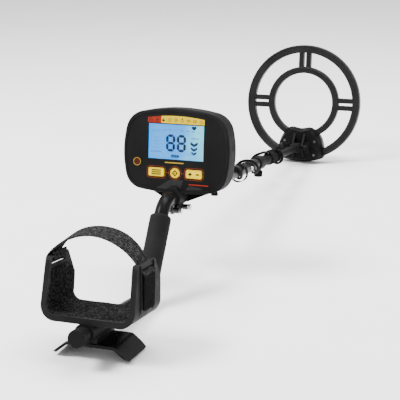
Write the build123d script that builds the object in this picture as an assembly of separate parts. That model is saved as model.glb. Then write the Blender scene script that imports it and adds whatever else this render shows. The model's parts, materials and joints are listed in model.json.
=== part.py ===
from build123d import *
import os
from math import cos, pi, radians, sin, sqrt, tan

# Metal detector, laid down on its foot and on the lower edge of its folded-up search coil.
# All lengths are millimetres. The pieces are drawn in the tube frame: its origin is the middle of
# the rear end cap, +Y runs forward along the rear tube, +X is to the user's right and +Z is square
# to the tube. stand_up() then pitches the whole object so that it stands on the floor.

# --- shaft ---------------------------------------------------------------------------------------
TUBE_R = 11.0            # S-shaped upper tube, 22 x 1
TUBE_BORE = 10.0
LOW_BEND_Y = 234.7       # corner of the rear tube and the grip
TOP_BEND_Y = 305.4       # corner of the grip and the front shaft
SHAFT_Z = 135.0          # height of the front shaft over the rear tube
LOW_BEND_R = 38.0
TOP_BEND_R = 40.0
TUBE_END_Y = 812.0
MIDDLE_R = 9.92          # middle tube slides in the upper tube with 0.08 of clearance
MIDDLE_BORE = 8.9
MIDDLE_START_Y = 600.0
MIDDLE_END_Y = 952.0
ROD_R = 7.5              # lower rod
ROD_BORE = 5.5
ROD_START_Y = 850.0
ROD_END_Y = 1100.0
HOLE_Y = (738.0, 700.0)  # snap button holes, one step of 38 apart
BUTTON_R = 3.4
BUTTON_TIP_X = 13.6      # stands 2.6 out of the upper tube
CLIP_LEG_X = 4.2
CLIP_THICK = 0.8

# --- grip, arm cuff and foot ---------------------------------------------------------------------
GRIP_R = 16.5
GRIP_LENGTH = 103.0
CAP_R = 11.9
MOUNT_R = 13.2           # sleeve under the cuff
MOUNT_Y = 28.0           # its rear end
CUFF_HALF = 67.5
CUFF_BOTTOM = 11.0
CUFF_TOP = 92.0
CUFF_CORNER = 21.0
CUFF_WALL = 4.0
PAD = 4.5
STRAP_WIDTH = 40.0
STRAP_THICK = 2.4
STRAP_Y = 74.0
STRAP_CROWN = 128.0
SLOT_Z = 82.5            # middle of the strap slots
BOLT_YS = (58.0, 98.0)   # bolts through cuff, tube and foot
FOOT_HALF = 54.0
FOOT_DROP = 35.0
FOOT_THICK = 4.0
FOOT_CORNER = 12.0
FOOT_TILT = 3.5

# --- control box ---------------------------------------------------------------------------------
BOX_Y = 349.0            # front of the bezel
BOX_Z = 205.0            # middle of the face
BOX_HALF = 86.5
BOX_TOP = 65.5           # crown of the top edge over the middle of the face
BOX_BOTTOM = -66.2
SIDE_BOW = 10.5          # how far the edges of the box bow out between its corners
TOP_BOW = 11.0
BOTTOM_BOW = 7.0
BOX_TOP_R = 34.0
BOX_BOTTOM_R = 30.0
BOX_WALL = 2.4
JOIN_Y = 369.0           # front cover meets rear shell
SIDE_Y = 384.0           # full width ends
BACK_Y = 405.0
BEZEL = 4.4
PANEL_THICK = 1.2
LCD_W = 90.0
LCD_H = 54.0
LCD_Z = 218.7
ARCH_R = 15.5            # arch for the tube in the lower edge
KEY_Z = 170.8
KEY_W = 26.4
KEY_H = 13.4
KEY_X = 30.8
PINPOINT_R = 7.8
POWER_R = 6.7
POWER_X = -63.0
POWER_Z = 185.2
KEY_PROUD = 1.0
KEY_GAP = 0.35
KEY_FLANGE = 1.0
KEY_BACK_Y = BOX_Y + 5.5   # back of the keys, just before the silicone mat
DOOR_W = 108.0           # battery door
DOOR_H = 34.0
DOOR_Z = 214.0
BAND_YS = (343.0, 384.0)  # clamp bands that hold the box on the tube

# --- coil ----------------------------------------------------------------------------------------
PIVOT_Y = 1136.0
COIL_Z = 232.0
COIL_Y = 1166.0          # upper face of the rings, towards the user
COIL_DEPTH = 18.0
COIL_R = 127.5
OUTER_IN = 111.0
INNER_OUT = 79.8
INNER_IN = 66.0
WINDING_HALF = 1.2       # half the radial width of a winding
SPOKE_X = 8.0
SPOKE_W = 10.6
HOUSING_FRONT = 1150.0
SKIRT_R = 131.5
EAR_IN = 9.1
EAR_THICK = 3.6
KNUCKLE_HALF = 7.5
KNUCKLE_R = 10.0
COIL_BOLT_R = 3.5

# --- cable ---------------------------------------------------------------------------------------
CABLE_R = 2.5
GLAND = (-21.0, 1136.0, 140.0)
SOCKET_X = -32.0
SOCKET_Z = 172.0

CABLE_NAMES = ("cable_upper", "cable_middle", "cable_lower", "cable_coil")
CABLE_CUTS = (760.0, 900.0, 1046.0)

# --- fasteners and fits --------------------------------------------------------------------------
FIT = 0.05               # clearance between fixed pieces
POSTS = ((-57, 178), (57, 178), (-53, 238), (53, 238))
POST_R = 4.6
SCREW_HEAD_Y = 380.0
HOUSING_SCREWS = ((-34, 118), (34, 118), (-34, 148), (34, 148))
CLAMP_BOLT_Z = 114.0

# --- how the object stands -----------------------------------------------------------------------
FLOOR_PITCH = 7.15       # the rear tube slopes down towards the coil by this much, in degrees


# --- drawing aids --------------------------------------------------------------------------------
def rod(radius, start, end):
    """Cylinder from start to end."""
    start = Vector(start)
    along = Vector(end) - start
    return Solid.make_cylinder(radius, along.length, Plane(origin=start, z_dir=along))


def pipe(outer, inner, start, end):
    return rod(outer, start, end) - rod(inner, start, end)


def slab_y(sketch, y0, y1):
    """Sketch drawn in X and Z, extruded from y0 to y1."""
    return extrude(Plane.XZ.offset(-y1) * sketch, y1 - y0)


def slab_x(sketch, x0, x1):
    """Sketch drawn in Y and Z, extruded from x0 to x1."""
    return extrude(Plane.YZ.offset(x0) * sketch, x1 - x0)


def block(x0, x1, y0, y1, z0, z1):
    return Pos((x0 + x1) / 2, (y0 + y1) / 2, (z0 + z1) / 2) * Box(x1 - x0, y1 - y0, z1 - z0)


def hexagon(across, start, end):
    start = Vector(start)
    along = Vector(end) - start
    plane = Plane(origin=start, z_dir=along)
    return extrude(plane * RegularPolygon(across / sqrt(3), 6), along.length)


def box_outline(inset=0.0):
    """Bowed rectangle of the control box in X and Z, drawn in by inset."""
    w = BOX_HALF - inset
    t = BOX_TOP - inset
    b = BOX_BOTTOM + inset
    side = w - SIDE_BOW
    shoulder = t - TOP_BOW
    hip = b + BOTTOM_BOW
    edges = ThreePointArc((-side, hip), (-w, 0), (-side, shoulder))
    edges += ThreePointArc((-side, shoulder), (0, t), (side, shoulder))
    edges += ThreePointArc((side, shoulder), (w, 0), (side, hip))
    edges += ThreePointArc((side, hip), (0, b), (-side, hip))
    face = make_face(edges)
    corners = face.vertices().sort_by(Axis.Y)
    face = fillet(corners[2:], BOX_TOP_R - inset * 0.5)
    corners = [v for v in face.vertices() if abs(v.Y - hip) < 0.01]
    face = fillet(corners, BOX_BOTTOM_R - inset * 0.5)
    return Pos(0, BOX_Z) * face


# --- shaft ---------------------------------------------------------------------------------------
def grip_axis():
    """Unit vector up the grip."""
    return Vector(0, TOP_BEND_Y - LOW_BEND_Y, SHAFT_Z).normalized()


def s_tube():
    corners = [(0, 2, 0), (0, LOW_BEND_Y, 0), (0, TOP_BEND_Y, SHAFT_Z), (0, TUBE_END_Y, SHAFT_Z)]
    path = FilletPolyline(*corners, radius=[LOW_BEND_R, TOP_BEND_R])
    section = Plane(origin=path @ 0, z_dir=path % 0) * (Circle(TUBE_R) - Circle(TUBE_BORE))
    tube = sweep(section, path=path)
    for y in HOLE_Y:
        tube -= rod(BUTTON_R + 0.2, (5, y, SHAFT_Z), (15, y, SHAFT_Z))
    for y in BOLT_YS:
        tube -= rod(2.6, (0, y, -15), (0, y, 15))
    return tube


def end_cap():
    cap = rod(CAP_R, (0, 0, 0), (0, 14, 0))
    cap = fillet(cap.edges().group_by(Axis.Y)[0], 1.2)
    cap -= rod(TUBE_R + FIT, (0, 2, 0), (0, 14, 0))
    return cap + rod(TUBE_BORE - FIT, (0, 1.5, 0), (0, 11, 0))


def grip_sleeve():
    up = grip_axis()
    middle = Vector(0, (LOW_BEND_Y + TOP_BEND_Y) / 2, SHAFT_Z / 2)
    low = middle - up * (GRIP_LENGTH / 2)
    high = middle + up * (GRIP_LENGTH / 2)
    sleeve = rod(GRIP_R, low, high)
    sleeve = fillet(sleeve.edges().filter_by(GeomType.CIRCLE), 3.6)
    return sleeve - rod(TUBE_R + FIT, low - up * 5, high + up * 5)


def middle_tube():
    tube = pipe(MIDDLE_R, MIDDLE_BORE, (0, MIDDLE_START_Y, SHAFT_Z), (0, MIDDLE_END_Y, SHAFT_Z))
    return tube - rod(BUTTON_R + 0.1, (5, HOLE_Y[0], SHAFT_Z), (15, HOLE_Y[0], SHAFT_Z))


def snap_clip():
    """Spring steel clip inside the middle tube: a V of two legs, with the snap button formed on one."""
    y = HOLE_Y[0]
    shape = Polyline((y + 5, -CLIP_LEG_X), (y - 45, -3.0), (y - 52, 0), (y - 45, 3.0), (y + 5, 6.2))
    leaf = trace(shape, line_width=CLIP_THICK)
    clip = extrude(Plane(origin=(0, 0, SHAFT_Z - 2.5), x_dir=(0, 1, 0), z_dir=(0, 0, 1)) * leaf, 5)
    button = rod(BUTTON_R, (CLIP_LEG_X - CLIP_THICK / 2, y, SHAFT_Z), (BUTTON_TIP_X, y, SHAFT_Z))
    return clip + fillet(button.edges().group_by(Axis.X)[-1], 1.6)


def clamp_collar():
    """Collar on the end of the upper tube, with the boss of the lock knob under it."""
    collar = rod(13.4, (0, 800, SHAFT_Z), (0, 834, SHAFT_Z))
    collar = fillet(collar.edges().filter_by(GeomType.CIRCLE), 1.2)
    collar += rod(5.5, (0, 823, SHAFT_Z - 9), (0, 823, SHAFT_Z - 14.6))
    collar -= rod(TUBE_R + FIT, (0, 799, SHAFT_Z), (0, TUBE_END_Y + FIT, SHAFT_Z))
    collar -= rod(MIDDLE_R + 0.06, (0, 800, SHAFT_Z), (0, 840, SHAFT_Z))
    return collar - rod(2.55, (0, 823, SHAFT_Z), (0, 823, SHAFT_Z - 20))


def lock_knob():
    top = SHAFT_Z - 14.8
    knob = rod(8.2, (0, 823, top), (0, 823, top - 12.5))
    knob = fillet(knob.edges().filter_by(GeomType.CIRCLE), 2.4)
    for n in range(12):
        a = radians(30 * n)
        x = 8.6 * sin(a)
        y = 823 + 8.6 * cos(a)
        knob -= rod(0.9, (x, y, top + 1), (x, y, top - 14))
    return knob + rod(2.5, (0, 823, top - 1), (0, 823, SHAFT_Z - MIDDLE_R - 0.12))


def twist_lock():
    sleeve = rod(12.4, (0, 938, SHAFT_Z), (0, 966, SHAFT_Z))
    sleeve = fillet(sleeve.edges().filter_by(GeomType.CIRCLE), 1.5)
    for n in range(16):
        a = radians(22.5 * n)
        x = 12.7 * sin(a)
        z = SHAFT_Z + 12.7 * cos(a)
        sleeve -= rod(0.8, (x, 943, z), (x, 961, z))
    sleeve -= rod(MIDDLE_R + 0.08, (0, 937, SHAFT_Z), (0, MIDDLE_END_Y + 0.2, SHAFT_Z))
    return sleeve - rod(ROD_R + 0.25, (0, 950, SHAFT_Z), (0, 970, SHAFT_Z))


def guide_bush():
    """Split bush in the mouth of the middle tube, which the lower rod runs through."""
    bush = pipe(MIDDLE_BORE - FIT, ROD_R + 0.06, (0, 928, SHAFT_Z), (0, MIDDLE_END_Y, SHAFT_Z))
    return bush - block(-0.8, 0.8, 930, 960, SHAFT_Z, SHAFT_Z + 12)


def lower_rod():
    return pipe(ROD_R, ROD_BORE, (0, ROD_START_Y, SHAFT_Z), (0, ROD_END_Y, SHAFT_Z))


def rod_end_plug():
    """Plug on the hidden end of the lower rod, which stops it leaving the middle tube."""
    start = ROD_START_Y - 10
    plug = rod(MIDDLE_BORE - 0.08, (0, start, SHAFT_Z), (0, ROD_START_Y, SHAFT_Z))
    return plug + rod(ROD_BORE - FIT, (0, start, SHAFT_Z), (0, ROD_START_Y + 14, SHAFT_Z))


def rod_knuckle():
    """Moulded end of the lower rod, which sits between the ears of the coil."""
    half = KNUCKLE_HALF
    tongue = rod(KNUCKLE_R, (-half, PIVOT_Y, SHAFT_Z), (half, PIVOT_Y, SHAFT_Z))
    tongue += block(-half, half, PIVOT_Y - 18, PIVOT_Y, SHAFT_Z - KNUCKLE_R, SHAFT_Z + KNUCKLE_R)
    neck = Plane(origin=(0, ROD_END_Y, SHAFT_Z), x_dir=(1, 0, 0), z_dir=(0, 1, 0)) * Circle(8.6)
    mouth = Plane(origin=(0, PIVOT_Y - 17, SHAFT_Z), x_dir=(1, 0, 0), z_dir=(0, 1, 0))
    mouth = mouth * RectangleRounded(2 * half - 0.2, 2 * KNUCKLE_R - 0.2, 2)
    tongue += loft([neck.face(), mouth.face()])
    tongue += rod(ROD_BORE - FIT, (0, ROD_END_Y - 22, SHAFT_Z), (0, ROD_END_Y + 2, SHAFT_Z))
    return tongue - rod(COIL_BOLT_R + 0.06, (-20, PIVOT_Y, SHAFT_Z), (20, PIVOT_Y, SHAFT_Z))


# --- arm cuff and foot ---------------------------------------------------------------------------
def cuff_profile(inset, bottom_inset=None):
    """U of the cuff in X and Z, closed over its open top."""
    bottom = CUFF_BOTTOM + (inset if bottom_inset is None else bottom_inset)
    half = CUFF_HALF - inset
    top = half - 2.5
    r = CUFF_CORNER - inset
    points = [(-top, CUFF_TOP + 10), (-half, bottom), (half, bottom), (top, CUFF_TOP + 10)]
    edges = FilletPolyline(*points, radius=r)
    edges += Line((top, CUFF_TOP + 10), (-top, CUFF_TOP + 10))
    return make_face(edges)


def cuff_side(near=0.0, far=0.0, top=0.0):
    """Side view of the cuff in Y and Z, drawn in by near, far and top."""
    z = CUFF_TOP - top
    points = [(28 + near, 2), (44 + near, z), (104 - far, z), (124 - far, 62), (123 - far, 2)]
    return fillet(make_face(Polyline(*points, close=True)).vertices().group_by(Axis.Y)[-1], 6)


def strap_slot(side):
    x = side * (CUFF_HALF - CUFF_WALL)
    half = STRAP_WIDTH / 2 + 1.5
    return block(x - 12, x + 12, STRAP_Y - half, STRAP_Y + half, SLOT_Z - 3, SLOT_Z + 3)


def arm_cuff():
    shell = slab_y(cuff_profile(0) - cuff_profile(CUFF_WALL), 20, 130)
    shell &= slab_x(cuff_side(), -80, 80)
    lip = slab_y(cuff_profile(0) - cuff_profile(CUFF_WALL + PAD - 0.5), 20, 60)
    lip &= slab_x(cuff_side(), -80, 80) - slab_x(cuff_side(near=4.5), -80, 80)
    cuff = shell + lip
    for y in (52.0, 97.0):
        rib = slab_y(cuff_profile(-2.0, 2.0) - cuff_profile(0.5), y - 1.2, y + 1.2)
        cuff += rib & block(CUFF_HALF - 9, CUFF_HALF + 9, y - 2, y + 2, 22, CUFF_TOP - 1)
    cuff -= strap_slot(1)
    cuff -= strap_slot(-1)
    cuff -= rod(MOUNT_R + FIT, (0, 0, 0), (0, 140, 0))
    for y in BOLT_YS:
        cuff -= rod(2.6, (0, y, 0), (0, y, 30))
    return cuff


def cuff_pad():
    """Looped lining of the cuff, with a pocket underneath for each bolt head."""
    pad = slab_y(cuff_profile(CUFF_WALL + 0.1) - cuff_profile(CUFF_WALL + PAD), 20, 130)
    pad &= slab_x(cuff_side(near=4.8, far=1.5, top=16), -80, 80)
    for y in BOLT_YS:
        pad -= rod(5.0, (0, y, 0), (0, y, CUFF_BOTTOM + CUFF_WALL + 2.8))
    return pad


def cuff_mount():
    """Sleeve on the rear tube, which the cuff sits on and the foot hangs from."""
    sleeve = pipe(MOUNT_R, TUBE_R + FIT, (0, MOUNT_Y, 0), (0, 118, 0))
    sleeve += pipe(14.0, TUBE_R + FIT, (0, MOUNT_Y - 4, 0), (0, MOUNT_Y, 0))
    for y in BOLT_YS:
        sleeve -= rod(2.6, (0, y, -15), (0, y, 15))
    return sleeve


def cuff_strap():
    """Hook-and-loop strap over the arm: it goes in at the left slot and out at the right one."""
    inside = CUFF_HALF - CUFF_WALL - 3.9
    outside = CUFF_HALF + 1.9
    z = SLOT_Z
    crown = ThreePointArc((-outside, 90), (-4, STRAP_CROWN - STRAP_THICK / 2), (inside, 90))
    tail = [(inside, 90), (inside + 0.6, z + 0.5), (outside - 0.6, z - 0.5), (outside + 0.3, 31)]
    fold = [(-outside, 90), (-outside + 0.4, z - 0.5), (-inside - 0.5, z + 0.5), (-inside + 0.4, 98)]
    band = trace(crown, STRAP_THICK)
    band += trace(FilletPolyline(*tail, radius=1.6), STRAP_THICK)
    band += trace(FilletPolyline(*fold, radius=1.6), STRAP_THICK)
    return slab_y(band, STRAP_Y - STRAP_WIDTH / 2, STRAP_Y + STRAP_WIDTH / 2)


def foot_corner(side, y, inwards):
    """What is cut off to round one corner of the foot plate."""
    r = FOOT_CORNER
    z = -FOOT_DROP + r - 0.5
    near, far = sorted((y, y + r * inwards))
    corner = block(side * 50 - 9, side * 50 + 9, near, far, -60, z)
    return corner - rod(r, (side * 50 - 12, y + r * inwards, z), (side * 50 + 12, y + r * inwards, z))


def foot_stand():
    top = -MOUNT_R - 1.5
    bottom = top - FOOT_THICK
    low = -FOOT_DROP
    points = [(-FOOT_HALF, low), (-34, bottom), (34, bottom), (FOOT_HALF, low)]
    wings = trace(FilletPolyline(*points, radius=9), FOOT_THICK)
    plate = slab_y(Pos(0, FOOT_THICK / 2) * wings, 42, 106)
    for side in (-1, 1):
        plate -= foot_corner(side, 42, 1)
        plate -= foot_corner(side, 106, -1)
    plate = Pos(0, 106, 0) * Rot(X=FOOT_TILT) * Pos(0, -106, 0) * plate
    plate += block(-9, 9, 46, 104, -18, -8)
    plate -= rod(MOUNT_R + FIT, (0, 0, 0), (0, 140, 0))
    for y in BOLT_YS:
        plate -= rod(2.6, (0, y, -40), (0, y, 0))
    return plate


def cuff_bolts():
    bolts = []
    for y in BOLT_YS:
        head = rod(4.6, (0, y, CUFF_BOTTOM + CUFF_WALL + 0.05), (0, y, CUFF_BOTTOM + CUFF_WALL + 2.6))
        head = fillet(head.edges().group_by(Axis.Z)[-1], 1.2)
        bolts.append(head + rod(2.5, (0, y, -25.5), (0, y, 16)))
    return Compound(bolts)


def cuff_nuts():
    nuts = []
    for y in BOLT_YS:
        under = -MOUNT_R - 1.5 - FOOT_THICK - (106 - y) * tan(radians(FOOT_TILT)) - 0.5
        nuts.append(hexagon(8.0, (0, y, under - 4), (0, y, under)) - rod(2.52, (0, y, -40), (0, y, 0)))
    return Compound(nuts)


# --- control box ---------------------------------------------------------------------------------
def key_holes(grow):
    holes = Pos(POWER_X, POWER_Z) * Circle(POWER_R + grow)
    holes += Pos(0, KEY_Z) * Circle(PINPOINT_R + grow)
    for x in (-KEY_X, KEY_X):
        holes += Pos(x, KEY_Z) * RectangleRounded(KEY_W + 2 * grow, KEY_H + 2 * grow, 3 + grow)
    return holes


def arch():
    return rod(ARCH_R, (0, BOX_Y - 20, SHAFT_Z), (0, BACK_Y + 20, SHAFT_Z))


def front_cover():
    cover = slab_y(box_outline(), BOX_Y, JOIN_Y)
    cover = fillet(cover.edges().group_by(Axis.Y)[0], 3.2)
    cover -= slab_y(box_outline(BOX_WALL), BOX_Y + 4.4, JOIN_Y)
    cover -= slab_y(box_outline(BEZEL), BOX_Y - 1, BOX_Y + 1 + PANEL_THICK)
    cover -= slab_y(Pos(0, LCD_Z) * Rectangle(LCD_W + 4, LCD_H + 4), BOX_Y, BOX_Y + 6)
    cover -= slab_y(key_holes(KEY_GAP), BOX_Y, BOX_Y + 6)
    chute = rod(ARCH_R + BOX_WALL, (0, BOX_Y + 1 + PANEL_THICK, SHAFT_Z), (0, JOIN_Y, SHAFT_Z))
    cover += chute & slab_y(box_outline(BOX_WALL / 2), BOX_Y, JOIN_Y)
    return cover - arch()


def face_panel():
    panel = slab_y(box_outline(BEZEL + 0.15), BOX_Y + 1, BOX_Y + 1 + PANEL_THICK - FIT)
    panel -= slab_y(Pos(0, LCD_Z) * Rectangle(LCD_W, LCD_H), BOX_Y, BOX_Y + 6)
    panel -= slab_y(key_holes(KEY_GAP), BOX_Y, BOX_Y + 6)
    return panel - arch()


def lcd_window():
    window = Pos(0, LCD_Z) * Rectangle(LCD_W - 0.2, LCD_H - 0.2)
    rim = Pos(0, LCD_Z) * Rectangle(LCD_W + 3.6, LCD_H + 3.6)
    return slab_y(window, BOX_Y + 1.2, BOX_Y + 2.3) + slab_y(rim, BOX_Y + 2.25, BOX_Y + 3.2)


def lcd_module():
    frame = slab_y(Pos(0, LCD_Z) * Rectangle(LCD_W + 8, LCD_H + 8), BOX_Y + 6.2, BOX_Y + 12)
    return frame + slab_y(Pos(0, LCD_Z) * Rectangle(LCD_W + 2, LCD_H + 2), BOX_Y + 3.4, BOX_Y + 6.4)


def keypad_mat():
    """Silicone mat behind the keys."""
    sheet = Pos(POWER_X, POWER_Z) * RectangleRounded(22, 20, 3)
    sheet += Pos(0, KEY_Z) * RectangleRounded(104, 20, 3)
    sheet += Pos(-50, 178) * RectangleRounded(30, 18, 3)
    return slab_y(sheet, BOX_Y + 6.4, BOX_Y + 7.6)


def key(cap, flange):
    """A key: its cap, which stands through the panel, and the flange that keeps it in."""
    cap = slab_y(cap, BOX_Y + 1 - KEY_PROUD, KEY_BACK_Y)
    cap = fillet(cap.edges().group_by(Axis.Y)[0], 0.5)
    return cap + slab_y(flange, KEY_BACK_Y - 0.6, KEY_BACK_Y)


def round_key(x, z, r):
    return key(Pos(x, z) * Circle(r), Pos(x, z) * Circle(r + KEY_FLANGE))


def long_key(x):
    cap = Pos(x, KEY_Z) * RectangleRounded(KEY_W, KEY_H, 3)
    return key(cap, Pos(x, KEY_Z) * RectangleRounded(KEY_W + 2 * KEY_FLANGE, KEY_H + 2 * KEY_FLANGE, 4))


def power_button():
    return round_key(POWER_X, POWER_Z, POWER_R)


def menu_button():
    return long_key(-KEY_X)


def pinpoint_button():
    return round_key(0, KEY_Z, PINPOINT_R)


def plus_minus_button():
    return long_key(KEY_X)


def rear_shell():
    body = slab_y(box_outline(), JOIN_Y, SIDE_Y)
    near = (Plane.XZ.offset(-SIDE_Y) * box_outline()).face()
    far = (Plane.XZ.offset(-BACK_Y) * box_outline(15)).face()
    body += loft([near, far], ruled=True)
    inner = slab_y(box_outline(BOX_WALL), JOIN_Y, SIDE_Y)
    near_in = (Plane.XZ.offset(-SIDE_Y) * box_outline(BOX_WALL)).face()
    far_in = (Plane.XZ.offset(-BACK_Y + BOX_WALL) * box_outline(15 + BOX_WALL)).face()
    body -= inner + loft([near_in, far_in], ruled=True)
    chute = rod(ARCH_R + BOX_WALL, (0, JOIN_Y, SHAFT_Z), (0, BACK_Y, SHAFT_Z))
    body += chute & (slab_y(box_outline(1), JOIN_Y, SIDE_Y) + loft([near, far], ruled=True))
    body -= arch()
    body -= slab_y(Pos(0, DOOR_Z) * RectangleRounded(DOOR_W + 0.5, DOOR_H + 0.5, 3), BACK_Y - 8, BACK_Y + 5)
    body -= rod(6.1, (SOCKET_X, BACK_Y - 10, SOCKET_Z), (SOCKET_X, BACK_Y + 5, SOCKET_Z))
    body -= rod(4.05, (56, 378, 130), (56, 378, 150))
    for n in range(-3, 4):
        body -= block(34 + n * 3.6 - 0.8, 34 + n * 3.6 + 0.8, BACK_Y - 6, BACK_Y + 2, 166, 182)
    for x, z in POSTS:
        body += pipe(POST_R, 1.6, (x, JOIN_Y + 0.2, z), (x, BACK_Y - 1, z))
        body -= rod(3.4, (x, SCREW_HEAD_Y, z), (x, BACK_Y + 2, z))
    return body


def case_screws():
    screws = []
    for x, z in POSTS:
        head = rod(2.9, (x, SCREW_HEAD_Y + 0.1, z), (x, SCREW_HEAD_Y + 2.2, z))
        head -= hexagon(2.5, (x, SCREW_HEAD_Y + 1.0, z), (x, SCREW_HEAD_Y + 3, z))
        screws.append(head + rod(1.5, (x, JOIN_Y - 7, z), (x, SCREW_HEAD_Y + 0.2, z)))
    return Compound(screws)


def circuit_board():
    board = slab_y(box_outline(BOX_WALL + 2), JOIN_Y - 7.6, JOIN_Y - 6)
    board -= rod(ARCH_R + BOX_WALL + 1.5, (0, BOX_Y, SHAFT_Z), (0, BACK_Y, SHAFT_Z))
    for x, z in POSTS:
        board -= rod(POST_R + 0.1, (x, BOX_Y, z), (x, BACK_Y, z))
    return board + board_chips()


def board_chips():
    """Chips and capacitors soldered on the back of the board."""
    y = JOIN_Y - 6.1
    chips = [block(x - w / 2, x + w / 2, y, y + 1.8, z - h / 2, z + h / 2)
             for x, z, w, h in ((-30, 232, 14, 14), (6, 238, 10, 6), (-48, 190, 8, 12), (40, 236, 12, 8))]
    cans = [rod(3.2, (x, y, z), (x, y + 8, z)) for x, z in ((-60, 224), (60, 212), (52, 200), (-62, 206))]
    return chips + cans


def speaker():
    cone = rod(15, (34, BACK_Y - 8.4, 174), (34, BACK_Y - 3, 174))
    return cone + rod(8, (34, BACK_Y - 14, 174), (34, BACK_Y - 8.2, 174))


def battery_tray():
    """Open box for two 9 V blocks, let into the back of the rear shell."""
    tray = block(-53.8, 53.8, BACK_Y - 22.5, BACK_Y - 3.0, 197.2, 230.8)
    tray -= block(-51.8, -0.8, BACK_Y - 21, BACK_Y, 199.0, 229.0)
    return tray - block(0.8, 51.8, BACK_Y - 21, BACK_Y, 199.0, 229.0)


def batteries():
    cells = []
    for x0, x1 in ((-50.6, -5.2), (5.2, 50.6)):
        cell = block(x0, x1, BACK_Y - 20.6, BACK_Y - 3.4, 200.8, 227.2)
        cell = fillet(cell.edges().filter_by(Axis.X), 2.0)
        cells.append(cell)
    return Compound(cells)


def battery_snaps():
    snaps = []
    for x in (-3.1, 3.1):
        snap = block(x - 1.9, x + 1.9, BACK_Y - 19, BACK_Y - 5, 202, 226)
        snaps.append(snap)
    return Compound(snaps)


def battery_door():
    """Door with its hinge barrel along the lower edge and thumb grooves near the upper edge."""
    low = DOOR_Z - DOOR_H / 2
    axis_y = BACK_Y - 1.12
    plate = slab_y(Pos(0, DOOR_Z) * RectangleRounded(DOOR_W, DOOR_H, 3), BACK_Y - 2.2, BACK_Y - FIT)
    plate -= block(-60, 60, BACK_Y - 3, BACK_Y + 1, low - 1, low + 1.1)
    for side in (-1, 1):
        x0, x1 = sorted((side * (DOOR_W / 2 - 3), side * DOOR_W))
        plate -= block(x0, x1, BACK_Y - 3, BACK_Y + 1, low, low + 5)
    plate += rod(1.05, (-DOOR_W / 2 + 3.4, axis_y, low + 1.1), (DOOR_W / 2 - 3.4, axis_y, low + 1.1))
    for n in range(5):
        z = low + DOOR_H - 4 - n * 1.8
        plate -= block(-9, 9, BACK_Y - 0.6, BACK_Y + 1, z - 0.45, z + 0.45)
    return plate


def headphone_jack():
    nut = pipe(5.5, 3.2, (56, 378, 136.6), (56, 378, 141.4))
    barrel = pipe(4.0, 3.2, (56, 378, 141.2), (56, 378, 153))
    return nut + barrel + rod(4.0, (56, 378, 152.9), (56, 378, 156))


def coil_socket():
    flange = pipe(8.0, 4.2, (SOCKET_X, BACK_Y + 0.05, SOCKET_Z), (SOCKET_X, BACK_Y + 1.6, SOCKET_Z))
    barrel = pipe(6.0, 4.2, (SOCKET_X, BACK_Y - 8, SOCKET_Z), (SOCKET_X, BACK_Y + 9, SOCKET_Z))
    return flange + barrel + rod(5.9, (SOCKET_X, BACK_Y - 9, SOCKET_Z), (SOCKET_X, BACK_Y - 1, SOCKET_Z))


def cable_plug():
    body = rod(4.1, (SOCKET_X, BACK_Y - 0.8, SOCKET_Z), (SOCKET_X, BACK_Y + 10, SOCKET_Z))
    body += rod(6.6, (SOCKET_X, BACK_Y + 9.2, SOCKET_Z), (SOCKET_X, BACK_Y + 12, SOCKET_Z))
    tail = Solid.make_cone(5.6, 3.4, 16, Plane(origin=(SOCKET_X, BACK_Y + 12, SOCKET_Z), z_dir=(0, 1, 0)))
    return body + tail


def plug_ring():
    """Knurled ring that locks the plug on its socket."""
    ring = rod(8.2, (SOCKET_X, BACK_Y + 2.0, SOCKET_Z), (SOCKET_X, BACK_Y + 15, SOCKET_Z))
    ring = fillet(ring.edges().filter_by(GeomType.CIRCLE), 0.8)
    ring -= rod(6.75, (SOCKET_X, BACK_Y, SOCKET_Z), (SOCKET_X, BACK_Y + 16, SOCKET_Z))
    for n in range(18):
        a = radians(20 * n)
        x = SOCKET_X + 8.4 * sin(a)
        z = SOCKET_Z + 8.4 * cos(a)
        ring -= rod(0.6, (x, BACK_Y + 4, z), (x, BACK_Y + 13, z))
    return ring


def box_bracket():
    """Saddle between the box and the tube: a skirt flares to the box, a keel parts the two bands."""
    saddle = rod(ARCH_R - 0.1, (0, 334, SHAFT_Z), (0, BACK_Y - 1, SHAFT_Z))
    flare = Polyline((-46, 138.2), (46, 138.2), (17, 126), (-17, 126), close=True)
    skirt = slab_y(make_face(flare), 340, 404)
    side = Polyline((374, 140), (BACK_Y, 140), (BACK_Y - 8, 124), (362, 124), close=True)
    skirt &= slab_x(make_face(side), -60, 60)
    skirt -= slab_y(box_outline(-0.1), BOX_Y - 30, SIDE_Y + 30)
    saddle -= block(-30, 30, 320, BACK_Y + 5, 110, 126)
    near = BAND_YS[0] + 6
    far = BAND_YS[1] - 6
    keel = rod(ARCH_R - 0.1, (0, near, SHAFT_Z), (0, far, SHAFT_Z)) + block(-2, 5, near, far, 113, 126)
    saddle += skirt + keel
    for y in BAND_YS:
        groove = pipe(30, TUBE_R - 1, (0, y - 4.2, SHAFT_Z), (0, y + 4.2, SHAFT_Z))
        saddle -= groove & block(-13.4, 13.4, y - 5, y + 5, 100, 149)
    return saddle - rod(TUBE_R + FIT, (0, 300, SHAFT_Z), (0, BACK_Y + 10, SHAFT_Z))


def clamp_bands():
    bands = []
    for y in BAND_YS:
        band = pipe(12.4, TUBE_R + FIT, (0, y - 4, SHAFT_Z), (0, y + 4, SHAFT_Z))
        band += block(-2.2, 2.2, y - 4, y + 4, CLAMP_BOLT_Z - 6, SHAFT_Z - TUBE_R - 0.2)
        band -= block(-0.8, 0.8, y - 5, y + 5, CLAMP_BOLT_Z - 14, SHAFT_Z - 5)
        band -= rod(2.3, (-5, y, CLAMP_BOLT_Z), (5, y, CLAMP_BOLT_Z))
        band -= rod(TUBE_R + FIT, (0, y - 5, SHAFT_Z), (0, y + 5, SHAFT_Z))
        bands.append(band)
    return Compound(bands)


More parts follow.
